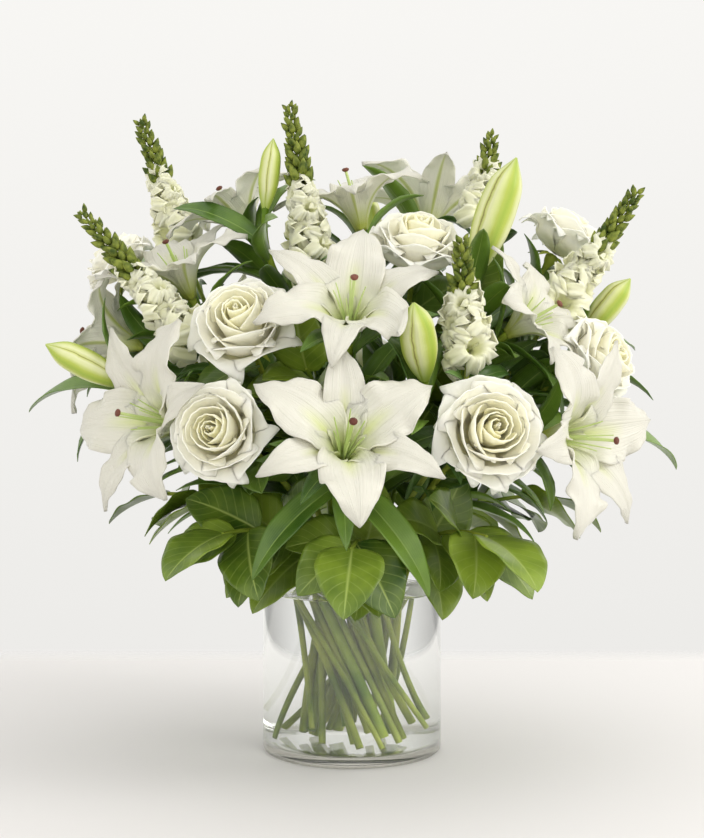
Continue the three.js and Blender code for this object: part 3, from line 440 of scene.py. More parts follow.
def turn_about(vector, axis, degrees):
    axis = unit(axis)
    angle = math.radians(degrees)
    return (
        vector * math.cos(angle)
        + np.cross(axis, vector) * math.sin(angle)
        + axis * (axis @ vector) * (1 - math.cos(angle))
    )


corner_trees = {}


def misfit(node, points):
    """How far points lie, in the middle, from the nearest corners of a CAD node."""
    if node not in corner_trees:
        corners = frame["nodes"][node].data.vertices
        found = KDTree(len(corners))
        for i, vertex in enumerate(corners):
            found.insert(vertex.co, i)
        found.balance()
        corner_trees[node] = found
    distances = [corner_trees[node].find(point * TO_METRES)[2] for point in points]
    return float(np.median(distances)) / TO_METRES


def bezier(knots, shares):
    a, b, c, d = knots
    t = np.asarray(shares)[:, None]
    return a * (1 - t) ** 3 + 3 * b * t * (1 - t) ** 2 + 3 * c * t**2 * (1 - t) + d * t**3


def bar_rings(points, radii, sides):
    """The rings of points round a path."""
    across = None
    rings = []
    for i, point in enumerate(points):
        along = unit(points[min(len(points) - 1, i + 1)] - points[max(0, i - 1)])
        across = frame_for(along)[1] if across is None else across
        across = unit(across - along * (across @ along))
        axes = (along, across, np.cross(along, across))
        rings.append(around(point, axes, radii[i], 360 * np.arange(sides) / sides, 0))
    return np.array(rings)


def curve_knots(node, start, leave, end, arrive, radii, sides, pieces):
    """The Bezier knots of a stem: of all the ways it may sway, the one that the CAD node shows."""
    length = np.linalg.norm(end - start)
    _, rise, side = frame_for(end - start)
    ways = []
    for sideways, upwards in SWAYS:
        sway = side * sideways + rise * upwards
        knots = (start, start + leave * length * HANDLE + sway, end - arrive * length * HANDLE + sway, end)
        points = bezier(knots, np.linspace(0, 1, pieces + 1))
        ways.append((misfit(node, bar_rings(points, radii, sides)[1:-1].reshape(-1, 3)), knots))
    return min(ways, key=lambda way: way[0])[1]


leads = [("lily", f"lily_stem_{name}", fork) for name, fork in LILY_STEMS]
for number, (middle, face, _, _) in enumerate(ROSES, 1):
    leads.append(("rose", f"rose_stem_{number}", np.array(middle) - unit(face) * ROSE_DEPTH))
leads += [("snap", f"snapdragon_stem_{number}", base) for number, (base, _) in enumerate(SNAPDRAGONS, 1)]
leads += [("salal", f"salal_{number}", end) for number, (end, _, _) in enumerate(SALAL, 1)]
stems = [
    {"kind": kind, "name": name, "lead": np.array(lead, float), "radius": STEM_RADIUS[kind]}
    for kind, name, lead in leads
]
stem_named = {stem["name"]: stem for stem in stems}

for stem in stems:
    lead = stem["lead"]
    slope = math.atan2(math.hypot(lead[0], lead[1]), lead[2] - NECK["aimed_from"])
    reach = NECK["reach"] * math.sin(slope) ** 0.8
    angle = math.atan2(lead[1], lead[0]) + math.radians(NECK["drift"])
    stem["neck"] = np.array([reach * math.cos(angle), reach * math.sin(angle), NECK["height"]])
for _ in range(NECK["rounds"]):
    for i, a in enumerate(stems):
        for b in stems[i + 1 :]:
            between = b["neck"] - a["neck"]
            apart = np.linalg.norm(between)
            short = NECK["spacing"] - apart
            if short <= 0:
                continue
            a["neck"] = a["neck"] - between / apart * short / 2
            b["neck"] = b["neck"] + between / apart * short / 2
            for stem in (a, b):
                x, y, _ = stem["neck"]
                held = min(1.0, NECK["reach"] / math.hypot(x, y))
                stem["neck"] = np.array([x * held, y * held, NECK["height"]])
for i, stem in enumerate(stems):
    swung = turn_about(stem["neck"], UP, FOOT["turn"]) * FOOT["spread"]
    foot = np.array([swung[0], swung[1], FOOT["height"]])
    stem["foot"] = mix(foot, stem["neck"], FOOT["shortened"] * vary(i, 3))


def run_stem(stem, end, arrive, sides=CAD_STEM["sides"]):
    """Finds a stem's path, and keeps its points, its radii and the corners of its coarse curve."""
    leave = unit(stem["neck"] - stem["foot"])
    pieces = CAD_STEM["pieces"]
    radii = [stem["radius"] * (1 - TAPER * i) for i in range(pieces + 2)]
    knots = curve_knots(stem["name"], stem["neck"], leave, end, arrive, radii[1:], sides, pieces)
    stem["coarse"] = bezier(knots, np.linspace(0, 1, pieces + 1))
    straight = [mix(stem["foot"], stem["neck"], share) for share in BELOW_NECK]
    stem["path"] = np.array([*straight, *bezier(knots, np.linspace(0, 1, STEM_CUTS))])
    below = np.linspace(radii[0], radii[1], len(straight) + 1)[:-1]
    stem["radii"] = np.array([*below, *np.linspace(radii[1], radii[-1], STEM_CUTS)])


def new_tree(name, inputs):
    """A Geometry Nodes tree with named inputs, given as name: (socket type, default)."""
    tree = bpy.data.node_groups.new(name, "GeometryNodeTree")
    tree.interface.new_socket("Geometry", in_out="INPUT", socket_type="NodeSocketGeometry")
    for label, (kind, default) in inputs.items():
        socket = tree.interface.new_socket(label, in_out="INPUT", socket_type=kind)
        if default is not None:
            socket.default_value = default
    tree.interface.new_socket("Geometry", in_out="OUTPUT", socket_type="NodeSocketGeometry")
    return tree, add_node(tree, "NodeGroupInput").outputs


def end_tree(tree, given, geometry):
    """Every tree ends by making its instances real and setting their material."""
    real = add_node(tree, "GeometryNodeRealizeInstances", {"Geometry": geometry})
    painted = add_node(tree, "GeometryNodeSetMaterial", {"Geometry": real, "Material": given["Finish"]})
    add_node(tree, "NodeGroupOutput", {"Geometry": painted})


def grown(source, tree, values):
    """The plain mesh that a tree makes from an object. The object itself is used up."""
    modifier = source.modifiers.new("grow", "NODES")
    modifier.node_group = tree
    for item in tree.interface.items_tree:
        if item.in_out == "INPUT" and item.name in values:
            modifier[item.identifier] = values[item.name]
    bpy.context.view_layer.update()
    graph = bpy.context.evaluated_depsgraph_get()
    mesh = bpy.data.meshes.new_from_object(source.evaluated_get(graph), depsgraph=graph)
    mesh.polygons.foreach_set("use_smooth", [True] * len(mesh.polygons))
    name = source.name
    source.modifiers.clear()
    bpy.data.objects.remove(source)
    return in_scene(name, mesh)


# The tree that draws round stems along paths. Each point's own radius sets how thick it is there.
stem_tree, given = new_tree(
    "round_stem", {"Sides": ("NodeSocketInt", 12), "Finish": ("NodeSocketMaterial", None)}
)
circle = {"Resolution": given["Sides"], "Radius": 1.0}
swept = {
    "Curve": given["Geometry"],
    "Profile Curve": add_node(stem_tree, "GeometryNodeCurvePrimitiveCircle", circle),
    "Scale": add_node(stem_tree, "GeometryNodeInputRadius"),
    "Fill Caps": True,
}
end_tree(stem_tree, given, add_node(stem_tree, "GeometryNodeCurveToMesh", swept))


def paths_object(name, paths):
    """A curve object of straight-run splines, from pairs of points and radii in millimetres."""
    data = bpy.data.curves.new(name, "CURVE")
    data.dimensions = "3D"
    for points, radii in paths:
        spline = data.splines.new("POLY")
        spline.points.add(len(points) - 1)
        for spot, point, radius in zip(spline.points, points, radii):
            spot.co = (*(np.asarray(point) * TO_METRES), 1.0)
            spot.radius = radius * TO_METRES
    return in_scene(name, data)


def draw_stems(name, paths, material, slot, *nodes, sides=12):
    piece = grown(paths_object(name, paths), stem_tree, {"Sides": sides, "Finish": material})
    return finish_piece(piece, slot, *nodes)


def noise(tree, vector, scale, detail):
    inputs = {"Vector": vector, "Scale": scale, "Detail": detail}
    return add_node(tree, "ShaderNodeTexNoise", inputs).outputs["Fac"]


def streaks(tree, vector, stretch, strength, distance, scale=1.0):
    """The relief of noise that is drawn out along one direction."""
    drawn = add_node(tree, "ShaderNodeMapping", {"Vector": vector, "Scale": stretch})
    inputs = {"Height": noise(tree, drawn, scale, 2.0), "Strength": strength, "Distance": distance}
    return add_node(tree, "ShaderNodeBump", inputs)


def tissue_surface(tree, colour, roughness, relief, **more):
    """The shader of petals, leaves and stems. More inputs are given with _ for each space in their names."""
    inputs = {"Base Color": colour, "Roughness": roughness, "Normal": relief}
    inputs.update({label.replace("_", " "): value for label, value in more.items()})
    set_surface(tree, add_node(tree, "ShaderNodeBsdfPrincipled", inputs))


def green_material(name, low, high, roughness, patch=22.0):
    """Living green, paler or darker by broad patches, with fine lengthwise grain."""
    made, tree = new_material(name)
    place = object_place(tree)
    colour = ramp(tree, noise(tree, place, patch, 3.0), [(0.34, low), (0.64, high)])
    grain = streaks(tree, place, (1.0, 1.0, 0.08), 0.25, 0.0004, scale=900.0)
    tissue_surface(
        tree, colour, roughness, grain,
        Specular_IOR_Level=0.22, Subsurface_Weight=0.08, Subsurface_Radius=LEAF_GLOW,
    )
    return made


# The roses.
# Each is an open florist's rose on a straight stem with small thorns: two dozen petals wound tightly at
# the heart and rolled back at their rims outside, above a green hip with five pointed sepals.
HIP_DEPTH = 14.0
HIP = {"heights": (-15, -11, -7, -3, -0.4), "radii": (2.6, 3.4, 5.4, 6.2, 4.4)}
THORN = {"near": 1.6, "far": 5.8, "half": 0.75, "tall": 2.0}
THORNS = {"Count": 13, "First size": 1.0, "Last size": 0.7, "Unevenness": 0.3}
SEPAL = {"count": 5, "half": 3.6, "from": 5.6, "reach": 15.5, "turn": 18.0, "columns": 5, "rows": 9}
PETAL_CUTS = 19
PETAL_SHEET = 0.0007
MIDDLE_SHADE = 0.5
WHORL_TURN = 37
GOLDEN = 137.508
# The whorls from the outermost in: petals, radius and height of the rim and radius of the belly as shares
# of the bloom's radius, half the angle that a petal spans, and how far its rim rolls back and swirls in.
ROSE_WHORLS = [
    {"count": 5, "rim": 0.94, "top": 0.76, "belly": 0.78, "half": 46, "roll": 0.2, "swirl": 0.05},
    {"count": 5, "rim": 0.76, "top": 0.99, "belly": 0.68, "half": 52, "roll": 0.21, "swirl": 0.06},
    {"count": 4, "rim": 0.55, "top": 1.13, "belly": 0.55, "half": 66, "roll": 0.18, "swirl": 0.1},
    {"count": 3, "rim": 0.37, "top": 1.2, "belly": 0.41, "half": 86, "roll": 0.14, "swirl": 0.16},
    {"count": 3, "rim": 0.22, "top": 1.2, "belly": 0.27, "half": 96, "roll": 0.1, "swirl": 0.22},
    {"count": 2, "rim": 0.11, "top": 1.19, "belly": 0.16, "half": 130, "roll": 0.06, "swirl": 0.3},
    {"count": 2, "rim": 0.03, "top": 1.15, "belly": 0.08, "half": 140, "roll": 0.0, "swirl": 0.3},
]


def smooth_profile(profile, shares):
    """A profile read at many shares, rounded through its knots."""
    knots = np.array(profile)
    ends = np.array([2 * knots[0] - knots[1], *knots, 2 * knots[-1] - knots[-2]])
    spots = np.clip(np.asarray(shares) * (len(knots) - 1), 0, len(knots) - 1 - 1e-9)
    i = spots.astype(int)
    t = (spots - i)[..., None]
    a, b, c, d = ends[i], ends[i + 1], ends[i + 2], ends[i + 3]
    return 0.5 * (2 * b + (c - a) * t + (2 * a - 5 * b + 4 * c - d) * t**2 + (3 * b - a - 3 * c + d) * t**3)


def sheet_grid(columns, rows, foot=0.0):
    """Shares of a sheet: across it from -1 to 1, and up it from its foot to 1."""
    return np.meshgrid(np.linspace(-1, 1, columns), np.linspace(foot, 1, rows))


def sheet_uv(u, v):
    return np.stack([(u + 1) / 2, v], -1)


def sheets_mesh(grids):
    """Vertices, faces, texture places and shades of a list of (points, uv, shade) grids. A material may tell
    one sheet from another by its shade, from 0 to 1."""
    vertices, faces, places, shades = [], [], [], []
    for points, uv, shade in grids:
        rows, columns = points.shape[:2]
        start = len(vertices)
        vertices.extend(points.reshape(-1, 3))
        places.extend(uv.reshape(-1, 2))
        shades.extend([shade] * rows * columns)
        for i in range(rows - 1):
            for j in range(columns - 1):
                a = start + i * columns + j
                faces.append((a, a + 1, a + columns + 1, a + columns))
    return np.array(vertices), faces, np.array(places), shades


def thicken(piece, thickness):
    solid = piece.modifiers.new("thickness", "SOLIDIFY")
    solid.thickness = thickness
    solid.offset = 0.0


def make_sheets(name, grids, thickness, material, slot, *nodes):
    vertices, faces, uv, shades = sheets_mesh(grids)
    piece = make_piece(name, vertices, faces, material, slot, *nodes, uv=uv, shade=shades)
    thicken(piece, thickness)
    return piece


def rose_petal(root, axes, radius, turn, whorl, seed):
    """One petal: a cupped sheet whose rim rolls back, most at its sides, so that it comes to a soft point."""
    u, v = sheet_grid(PETAL_CUTS, PETAL_CUTS)
    rim, top, belly = whorl["rim"], whorl["top"] * (0.97 + 0.06 * vary(seed, 1)), whorl["belly"]
    rounded = smooth_profile([(0.05, 0.04), (belly * 0.8, top * 0.26), (belly, top * 0.62), (rim, top)], v)
    out, up = rounded[..., 0], rounded[..., 1]
    outer = rim * rim
    side = np.abs(u) ** 2.4
    late = np.clip((v - 0.66) / 0.34, 0, 1)
    roll = whorl["roll"] * (0.7 + 0.6 * vary(seed, 3)) * (0.55 + 0.9 * side)
    out = out * (1 + whorl["swirl"] * u * v) + roll * np.sin(late * 1.9) * 0.75
    up = up - roll * (1 - np.cos(late * 2.0)) * 0.8 - (0.05 + 0.13 * outer) * side * v * v
    up = up + 0.05 * outer * np.exp(-((u * 3.4) ** 2)) * late
    wave = 0.014 * outer * np.sin(u * 8 + 6.3 * vary(seed, 4)) * late
    wave = wave + 0.008 * np.sin(u * 15 + v * 9 + 6.3 * vary(seed, 5)) * v
    half = whorl["half"] * (0.4 + 0.6 * np.sin(np.pi * 0.6 * v**0.7)) * (1 - 0.1 * late**2)
    aside = spoke(axes, 360 * vary(seed, 7), 0.035 * radius * vary(seed, 6))
    place = around(root, axes, (out + wave) * radius, turn + half * u, GAP + (up + wave) * radius)
    return place + v[..., None] * aside, sheet_uv(u, v), rim


def blend(tree, share, colour, other):
    """A colour that turns into another, which is the same all over."""
    inputs = {0: share, 6: colour, 7: (*other, 1.0)}
    return add_node(tree, "ShaderNodeMix", inputs, data_type="RGBA").outputs[2]


def petal_material(name, lit, deep, warm, roughness, ribs):
    """Petal tissue: its own colour at the rim, the deeper one at its foot, and fine ribs along it. Petals with
    a low shade, which stand near the heart, turn to the warm colour."""
    made, tree = new_material(name)
    uv = add_node(tree, "ShaderNodeUVMap", uv_map="uv")
    blotch = noise(tree, object_place(tree), 60.0, 3.0)
    height = maths(tree, "MULTIPLY_ADD", blotch, 0.25, split(tree, uv)["Y"])
    shade = add_node(tree, "ShaderNodeAttribute", attribute_name="shade").outputs["Fac"]
    inward = map_range(tree, shade, 0.7, 0.1, 0.0, 0.75)
    tissue_surface(
        tree,
        blend(tree, inward, ramp(tree, height, [(0.2, deep), (0.75, lit)]), warm),
        roughness,
        streaks(tree, uv, (ribs, 1.6, 1.0), 0.35, 0.0006),
        Subsurface_Weight=0.8,
        Subsurface_Scale=0.0032,
        Subsurface_Radius=(1.0, 1.0, 1.0),
        Sheen_Weight=0.45,
        Sheen_Roughness=0.45,
        Sheen_Tint=(1.0, 0.97, 0.88, 1.0),
    )
    return made


rose_cream = petal_material(
    "rose_cream", (0.99, 0.97, 0.82), (0.985, 0.92, 0.46), (0.99, 0.925, 0.48), 0.6, 26.0
)
rose_green = green_material("rose_green", (0.09, 0.15, 0.01), (0.33, 0.38, 0.05), 0.5)

# The tree that sets copies of one small form up a path, each turned on from the last, and smaller or
# larger towards the path's end.
spiral_tree, given = new_tree(
    "spiral_of_forms",
    {
        "Form": ("NodeSocketObject", None),
        "Count": ("NodeSocketInt", 12),
        "Turn": ("NodeSocketFloat", math.radians(GOLDEN)),
        "First size": ("NodeSocketFloat", 1.0),
        "Last size": ("NodeSocketFloat", 0.5),
        "Unevenness": ("NodeSocketFloat", 0.15),
        "Seed": ("NodeSocketInt", 1),
        "Finish": ("NodeSocketMaterial", None),
    },
)
spots = add_node(
    spiral_tree,
    "GeometryNodeCurveToPoints",
    {"Curve": given["Geometry"], "Count": given["Count"]},
    mode="COUNT",
)
number = add_node(spiral_tree, "GeometryNodeInputIndex")
swing = maths(spiral_tree, "MULTIPLY", number, given["Turn"])
spin = add_node(spiral_tree, "FunctionNodeAxisAngleToRotation", {"Axis": (0.0, 0.0, 1.0), "Angle": swing})
facing = add_node(
    spiral_tree,
    "FunctionNodeRotateRotation",
    {"Rotation": spots.outputs["Rotation"], "Rotate By": spin},
    rotation_space="LOCAL",
)
up_share = maths(spiral_tree, "DIVIDE", number, maths(spiral_tree, "SUBTRACT", given["Count"], 1.0))
size = map_range(spiral_tree, up_share, 0.0, 1.0, given["First size"], given["Last size"])
least = maths(spiral_tree, "SUBTRACT", 1.0, given["Unevenness"])
chance = add_node(spiral_tree, "FunctionNodeRandomValue", {"Min": least, "Max": 1.0, "Seed": given["Seed"]})
form = add_node(spiral_tree, "GeometryNodeObjectInfo", {"Object": given["Form"]})
set_out = {
    "Points": spots.outputs["Points"],
    "Instance": form.outputs["Geometry"],
    "Rotation": facing,
    "Scale": maths(spiral_tree, "MULTIPLY", size, chance.outputs[1]),
}
end_tree(spiral_tree, given, add_node(spiral_tree, "GeometryNodeInstanceOnPoints", set_out))


def form_object(name, vertices, faces, uv=None):
    """A small form in millimetres, about the point that it is set by. Z runs along the path."""
    return in_scene(name, plain_mesh(name, vertices, faces, uv))


def set_along(name, path, form, material, slot, node, seed, settings):
    """Copies of a form up a path of points in millimetres."""
    source = paths_object(name, [(path, [1.0] * len(path))])
    piece = grown(source, spiral_tree, {"Form": form, "Finish": material, "Seed": seed, **settings})
    return finish_piece(piece, slot, node)


near, half, tall = THORN["near"], THORN["half"], THORN["tall"]
thorn_form = form_object(
    "thorn_form",
    [(near, -half, 0), (near, half, 0), (near, 0, tall), (near, 0, -tall), (THORN["far"], 0, -tall)],
    [(0, 2, 4), (2, 1, 4), (1, 3, 4), (3, 0, 4), (0, 3, 1, 2)],
)


def calyx_sheets(root, axes, turn):
    """Five narrow sepals that curve out and back from the hip."""
    made = []
    u, v = sheet_grid(SEPAL["columns"], SEPAL["rows"])
    half = SEPAL["half"] * (1 - v) ** 0.7
    out = SEPAL["from"] + SEPAL["reach"] * v
    back = -1.5 - 8.5 * v**1.6 + 0.8 * np.abs(u) * (1 - v)
    for k in range(SEPAL["count"]):
        at = turn + 360 / SEPAL["count"] * k + SEPAL["turn"]
        spot = around(root, axes, out, at, back)
        made.append((spot + (half * u)[..., None] * spoke(axes, at + 90), sheet_uv(u, v), MIDDLE_SHADE))
    return made


for number, (middle, face, turn, radius) in enumerate(ROSES, 1):
    axes = frame_for(face)
    root = np.array(middle) - axes[0] * ROSE_DEPTH
    node = f"rose_stem_{number}"
    stem = stem_named[node]
    run_stem(stem, around(root, axes, 0.0, 0, -HIP_DEPTH), axes[0])
    hip = (around(root, axes, 0.0, 0, HIP["heights"]), HIP["radii"])
    draw_stems(f"{node}_stem", [(stem["path"], stem["radii"]), hip], rose_green, "rose_green", node, sides=14)
    make_sheets(f"{node}_sepals", calyx_sheets(root, axes, turn), PETAL_SHEET, rose_green, "rose_green", node)
    thorny = stem["path"][1:-6]
    set_along(f"{node}_thorns", thorny, thorn_form, rose_green, "rose_green", node, number, THORNS)
    grids = []
    for level, whorl in enumerate(ROSE_WHORLS):
        for k in range(whorl["count"]):
            step = k + 0.16 * vary(number * 9 + level, k)
            at = turn - WHORL_TURN * level + 360 / whorl["count"] * step
            grids.append(rose_petal(root, axes, radius, at, whorl, number * 90 + level * 9 + k))
    make_sheets(f"rose_{number}_petals", grids, PETAL_SHEET, rose_cream, "rose_cream", f"rose_{number}")

# The lilies.
# Five stems fork into stalks, each with an open lily or a closed bud. A lily has three narrow outer tepals
# and three broad inner ones, thick and satiny with ruffled edges, grown together at the throat. Its
# stamens have lost their anthers, so bare filaments stand round a longer style with a dark stigma.
PETAL_LENGTH = 104.0
OUTER_WIDTH = 34.0
INNER_WIDTH = 51.0
LILY_KNOTS = (14.0, 30.0, 58.0, 84.0, 112.0)
TEPAL_CUTS = {"columns": 17, "rows": 40, "foot": 0.02}
TEPAL_CUP = (3, -4)
TEPAL_GROOVE = 1.6
RUFFLE = {"inner": 4.4, "outer": 2.0}
THROAT = {"end": 0.42, "start": 3.3, "rise": 1.5, "wrapped": 0.3, "widest": 62}
LILY_DEPTH = 12.0
LOBE_ROWS = (0.62, 0.84)
LOBE_MISFIT = 3.0
STALK_STARTS = (0.02, 0.35, 0.18, 0.5)
STALK_ENDS = {"bud": 2.0, "lily": 6.0}
# How far a stalk runs on into its flower, and its radii there.
STALK_TOPS = {"bud": [(2.0, 3.2), (5.0, 3.4)], "lily": [(3.0, 3.1), (8.0, 3.7), (12.0, 3.0)]}
STALK_CUTS = 16
CAD_STALK = {"sides": 6, "pieces": 3}
LEAN = 0.004
TEPAL_SHEET = 0.0009
STYLE = {"length": 66.0, "lean": 4.0, "turn": 200.0, "thick": (1.7, 1.25)}
FILAMENT = {"length": 52.0, "from": 2.4, "spread": 13.0, "wander": 14.0, "thick": (1.0, 0.45)}
HEART_CUTS = 10
STIGMA = {"heights": (-2.2, -1.2, 0.2, 1.2), "radii": [1.3, 2.9, 3.2, 1.6]}
LILY_BUD = {"rows": 26, "columns": 43, "ridge": 0.09, "groove": 0.09}
LILY_BUD_SWELL = (0.3, 0.72, 0.97, 0.98, 0.8, 0.05)
# Each lily: its stem, throat, facing, turn in degrees and size.
LILIES = [
    ("front", (-6, -178, 262), (0.1, -0.82, 0.57), 0, 1.0),
    ("left", (-139, -90, 281), (-0.74, -0.62, 0.22), 40, 1.07),
    ("right", (158, -100, 272), (0.76, -0.63, 0.05), -25, 1.07),
    ("front", (-2, -112, 358), (0, -0.68, 0.73), 52, 0.98),
    ("right", (134, -52, 358), (0.74, -0.4, 0.54), 20, 0.82),
    ("left", (-138, -10, 392), (-0.35, -0.25, 0.9), 10, 0.86),
    ("left", (-186, 14, 346), (-0.86, 0.1, 0.28), 15, 0.9),
    ("top", (-92, 56, 446), (-0.5, 0.1, 0.86), 30, 0.86),
    ("top", (6, 22, 452), (-0.2, -0.1, 0.97), 0, 0.86),
    ("back", (70, 112, 452), (0.2, 0.42, 0.88), 25, 0.95),
    ("back", (-96, 146, 322), (-0.45, 0.82, 0.3), 0, 1.0),
    ("back", (112, 152, 300), (0.5, 0.82, 0.2), 35, 1.0),
]
# Each bud: its stem, where its stalk ends, its tip and its radius.
LILY_BUDS = [
    ("right", (100, -46, 402), (134, -50, 497), 16),
    ("right", (200, 30, 352), (240, 24, 402), 12),
    ("front", (56, -128, 318), (46, -166, 376), 14),
    ("left", (-184, -58, 312), (-247, -70, 345), 12),
    ("top", (-73, -6, 458), (-66, -8, 518), 9),
    ("back", (20, 150, 420), (16, 176, 492), 11),
]
# The ways that a lobe may take: how long it is, how far it opens and how far it bends aside.
LOBE_TRIES = [
    (long, curl, bend)
    for long in (1, 0.93, 0.86, 0.78, 0.7, 0.62, 0.54)
    for curl in (1, 1.2, 0.8, 1.4, 0.6, 1.6)
    for bend in (0, 12, -12, 22, -22, 32, -32)
]
RIB_STEPS = 24
# The colours across a bud's tepal, from streak to streak with the dark seam between, and how far they turn
# to the green of its ends, from its foot to its tip.
BUD_ACROSS = [
    (0.0, (0.34, 0.46, 0.05)),
    (0.14, (0.45, 0.52, 0.08)),
    (0.27, (0.68, 0.71, 0.34)),
    (0.4, (0.76, 0.77, 0.46)),
    (0.47, (0.58, 0.61, 0.2)),
    (0.5, (0.18, 0.15, 0.03)),
    (0.53, (0.58, 0.61, 0.2)),
    (0.62, (0.76, 0.77, 0.46)),
    (0.76, (0.66, 0.7, 0.3)),
    (0.88, (0.45, 0.52, 0.08)),
    (1.0, (0.34, 0.46, 0.05)),
]
BUD_UP = [(0.05, (0.85,) * 3), (0.3, (0.08,) * 3), (0.82, (0.12,) * 3), (1.0, (0.7,) * 3)]
BUD_ENDS = (0.36, 0.48, 0.07)
THROAT_GREEN = (0.66, 0.7, 0.36)


def knot_value(knots, share):
    return float(np.interp(share, np.linspace(0, 1, len(knots)), knots))


def rib_point(knots, length, share):
    """Radius and height of a point on a petal's rib. The knots are its angles to the axis."""
    radius = 0.0
    height = 0.0
    for i in range(math.ceil(share * RIB_STEPS)):
        part = min(1.0, share * RIB_STEPS - i)
        angle = math.radians(knot_value(knots, (i + part / 2) / RIB_STEPS))
        radius += math.sin(angle) * length * part / RIB_STEPS
        height += math.cos(angle) * length * part / RIB_STEPS
    return radius, height


def petal_row(lily, k, seed, attempt, t, across, fine=False):
    """Points across a tepal at one share of its length. A fine one also wraps the throat and ruffles."""
    root, axes, turn, size = lily
    long, curl, bend_by = attempt
    inner = k % 2 == 1
    past = min(1.0, max(0.0, (t - THROAT["end"]) / (1 - THROAT["end"])))
    opened = mix(1, curl * (0.94 + 0.16 * vary(seed, k + 30)), past)
    length = PETAL_LENGTH * size * mix(1, long * (0.95 + 0.1 * vary(seed, k)), past)
    knots = [angle * opened if i > 2 else angle for i, angle in enumerate(LILY_KNOTS)]
    rib_radius, rib_height = rib_point(knots, length, t)
    slope = math.radians(knot_value(knots, t))
    outline = max(0.0, math.sin(math.pi * t**0.86)) ** 0.85
    half = (INNER_WIDTH if inner else OUTER_WIDTH) / 2 * size * outline
    bend = (bend_by + 8 * (vary(seed, k + 50) - 0.5)) * past * past
    across = np.asarray(across, float)
    lift = mix(*TEPAL_CUP, past) * across**2 * (1 if inner else 0.6)
    if fine:
        lift = lift + ruffle(k, seed, t, across, size) + (0.5 if inner else -1.0) * (1 - past)
        lift = lift - TEPAL_GROOVE * math.sin(math.pi * t) * np.exp(-((across * 5) ** 2))
    radius = THROAT["start"] + rib_radius - math.cos(slope) * lift
    height = THROAT["rise"] + rib_height + math.sin(slope) * lift
    straight = np.zeros_like(across) + turn + 60 * k
    sideways = spoke(axes, turn + 60 * k + 90)
    flat = around(root, axes, radius, straight, height) + (half * across + bend)[..., None] * sideways
    wrap = 1 - min(1.0, max(0.0, (t - THROAT["wrapped"]) / THROAT["wrapped"]))
    if not fine or wrap == 0:
        return flat
    angle = np.degrees(half * across / np.maximum(radius, 4.0))
    angle = np.clip(angle, -THROAT["widest"], THROAT["widest"])
    return mix(flat, around(root, axes, radius, straight + angle, height), wrap)


def ruffle(k, seed, t, across, size):
    """How far a tepal's edge waves up and down."""
    strength = RUFFLE["inner" if k % 2 else "outer"] * size * math.sin(math.pi * min(1, t**1.3))
    phase = 6.3 * vary(seed, k + 70)
    side = np.sign(across)
    waves = np.sin(t * 19 + phase + side * 1.7) + 0.4 * np.sin(t * 43 + 2 * phase - side)
    return strength * np.abs(across) ** 2.6 * waves


def best_try(node, tries, tip_of, rest_of, limit):
    """Of some tries, the one whose points lie nearest the CAD node, and how near. A try whose tip is further
    from it than the limit is passed over, and without any other it is None."""
    ways = []
    for attempt in tries:
        tip = tip_of(attempt)
        if misfit(node, tip) <= limit:
            ways.append((misfit(node, np.concatenate([rest_of(attempt), tip])), attempt))
    return min(ways, key=lambda way: way[0]) if ways else None


def lobe_tried(lily, k, seed, node):
    """Of the ways that a lobe may take, the one that the CAD node shows."""
    best = best_try(
        node,
        LOBE_TRIES,
        lambda attempt: petal_row(lily, k, seed, attempt, 1.0, [0.0]),
        lambda attempt: np.concatenate(
            [petal_row(lily, k, seed, attempt, t, [-1.0, 0.0, 1.0]) for t in LOBE_ROWS]
        ),
        LOBE_MISFIT,
    )
    return best[1] if best else LOBE_TRIES[0]


def off_rib(tree, x):
    """The distance from the middle of a sheet, as a share of its width."""
    return maths(tree, "ABSOLUTE", maths(tree, "SUBTRACT", x, 0.5))


def tepal_material(name, tissue, rib_width, rib_reach, rib_colour):
    """White satin tissue, yellow-green in the throat and along the rib, with long parallel ribs."""
    made, tree = new_material(name)
    uv = add_node(tree, "ShaderNodeUVMap", uv_map="uv")
    x, y, _ = split(tree, uv)
    near_rib = map_range(tree, off_rib(tree, x), 0.0, rib_width, 1.0, 0.0)
    streak = maths(tree, "MULTIPLY", near_rib, map_range(tree, y, 0.08, rib_reach, 1.0, 0.0))
    throat = maths(tree, "POWER", map_range(tree, y, 0.08, 0.62, 1.0, 0.0), 3.0)
    greener = maths(tree, "MAXIMUM", streak, throat)
    tissue_surface(
        tree,
        ramp(tree, greener, [(0.0, tissue), (0.45, THROAT_GREEN), (1.0, rib_colour)]),
        0.42,
        streaks(tree, uv, (34.0, 1.2, 1.0), 0.75, 0.0015),
        Subsurface_Weight=0.45,
        Subsurface_Scale=0.0016,
        Subsurface_Radius=(1.0, 1.0, 1.0),
    )
    return made


def bud_material():
    """Pale tissue with a broad yellow-green streak up each of three tepals and a dark seam beside each."""
    made, tree = new_material("bud_green")
    uv = add_node(tree, "ShaderNodeUVMap", uv_map="uv")
    x, y, _ = split(tree, uv)
    wander = maths(tree, "MULTIPLY_ADD", noise(tree, object_place(tree), 90.0, 3.0), 0.035, x)
    within = maths(tree, "FRACT", maths(tree, "MULTIPLY", wander, 3.0))
    colour = blend(tree, ramp(tree, y, BUD_UP), ramp(tree, within, BUD_ACROSS), BUD_ENDS)
    tissue_surface(tree, colour, 0.4, streaks(tree, uv, (110.0, 1.5, 1.0), 0.4, 0.0008))
    return made
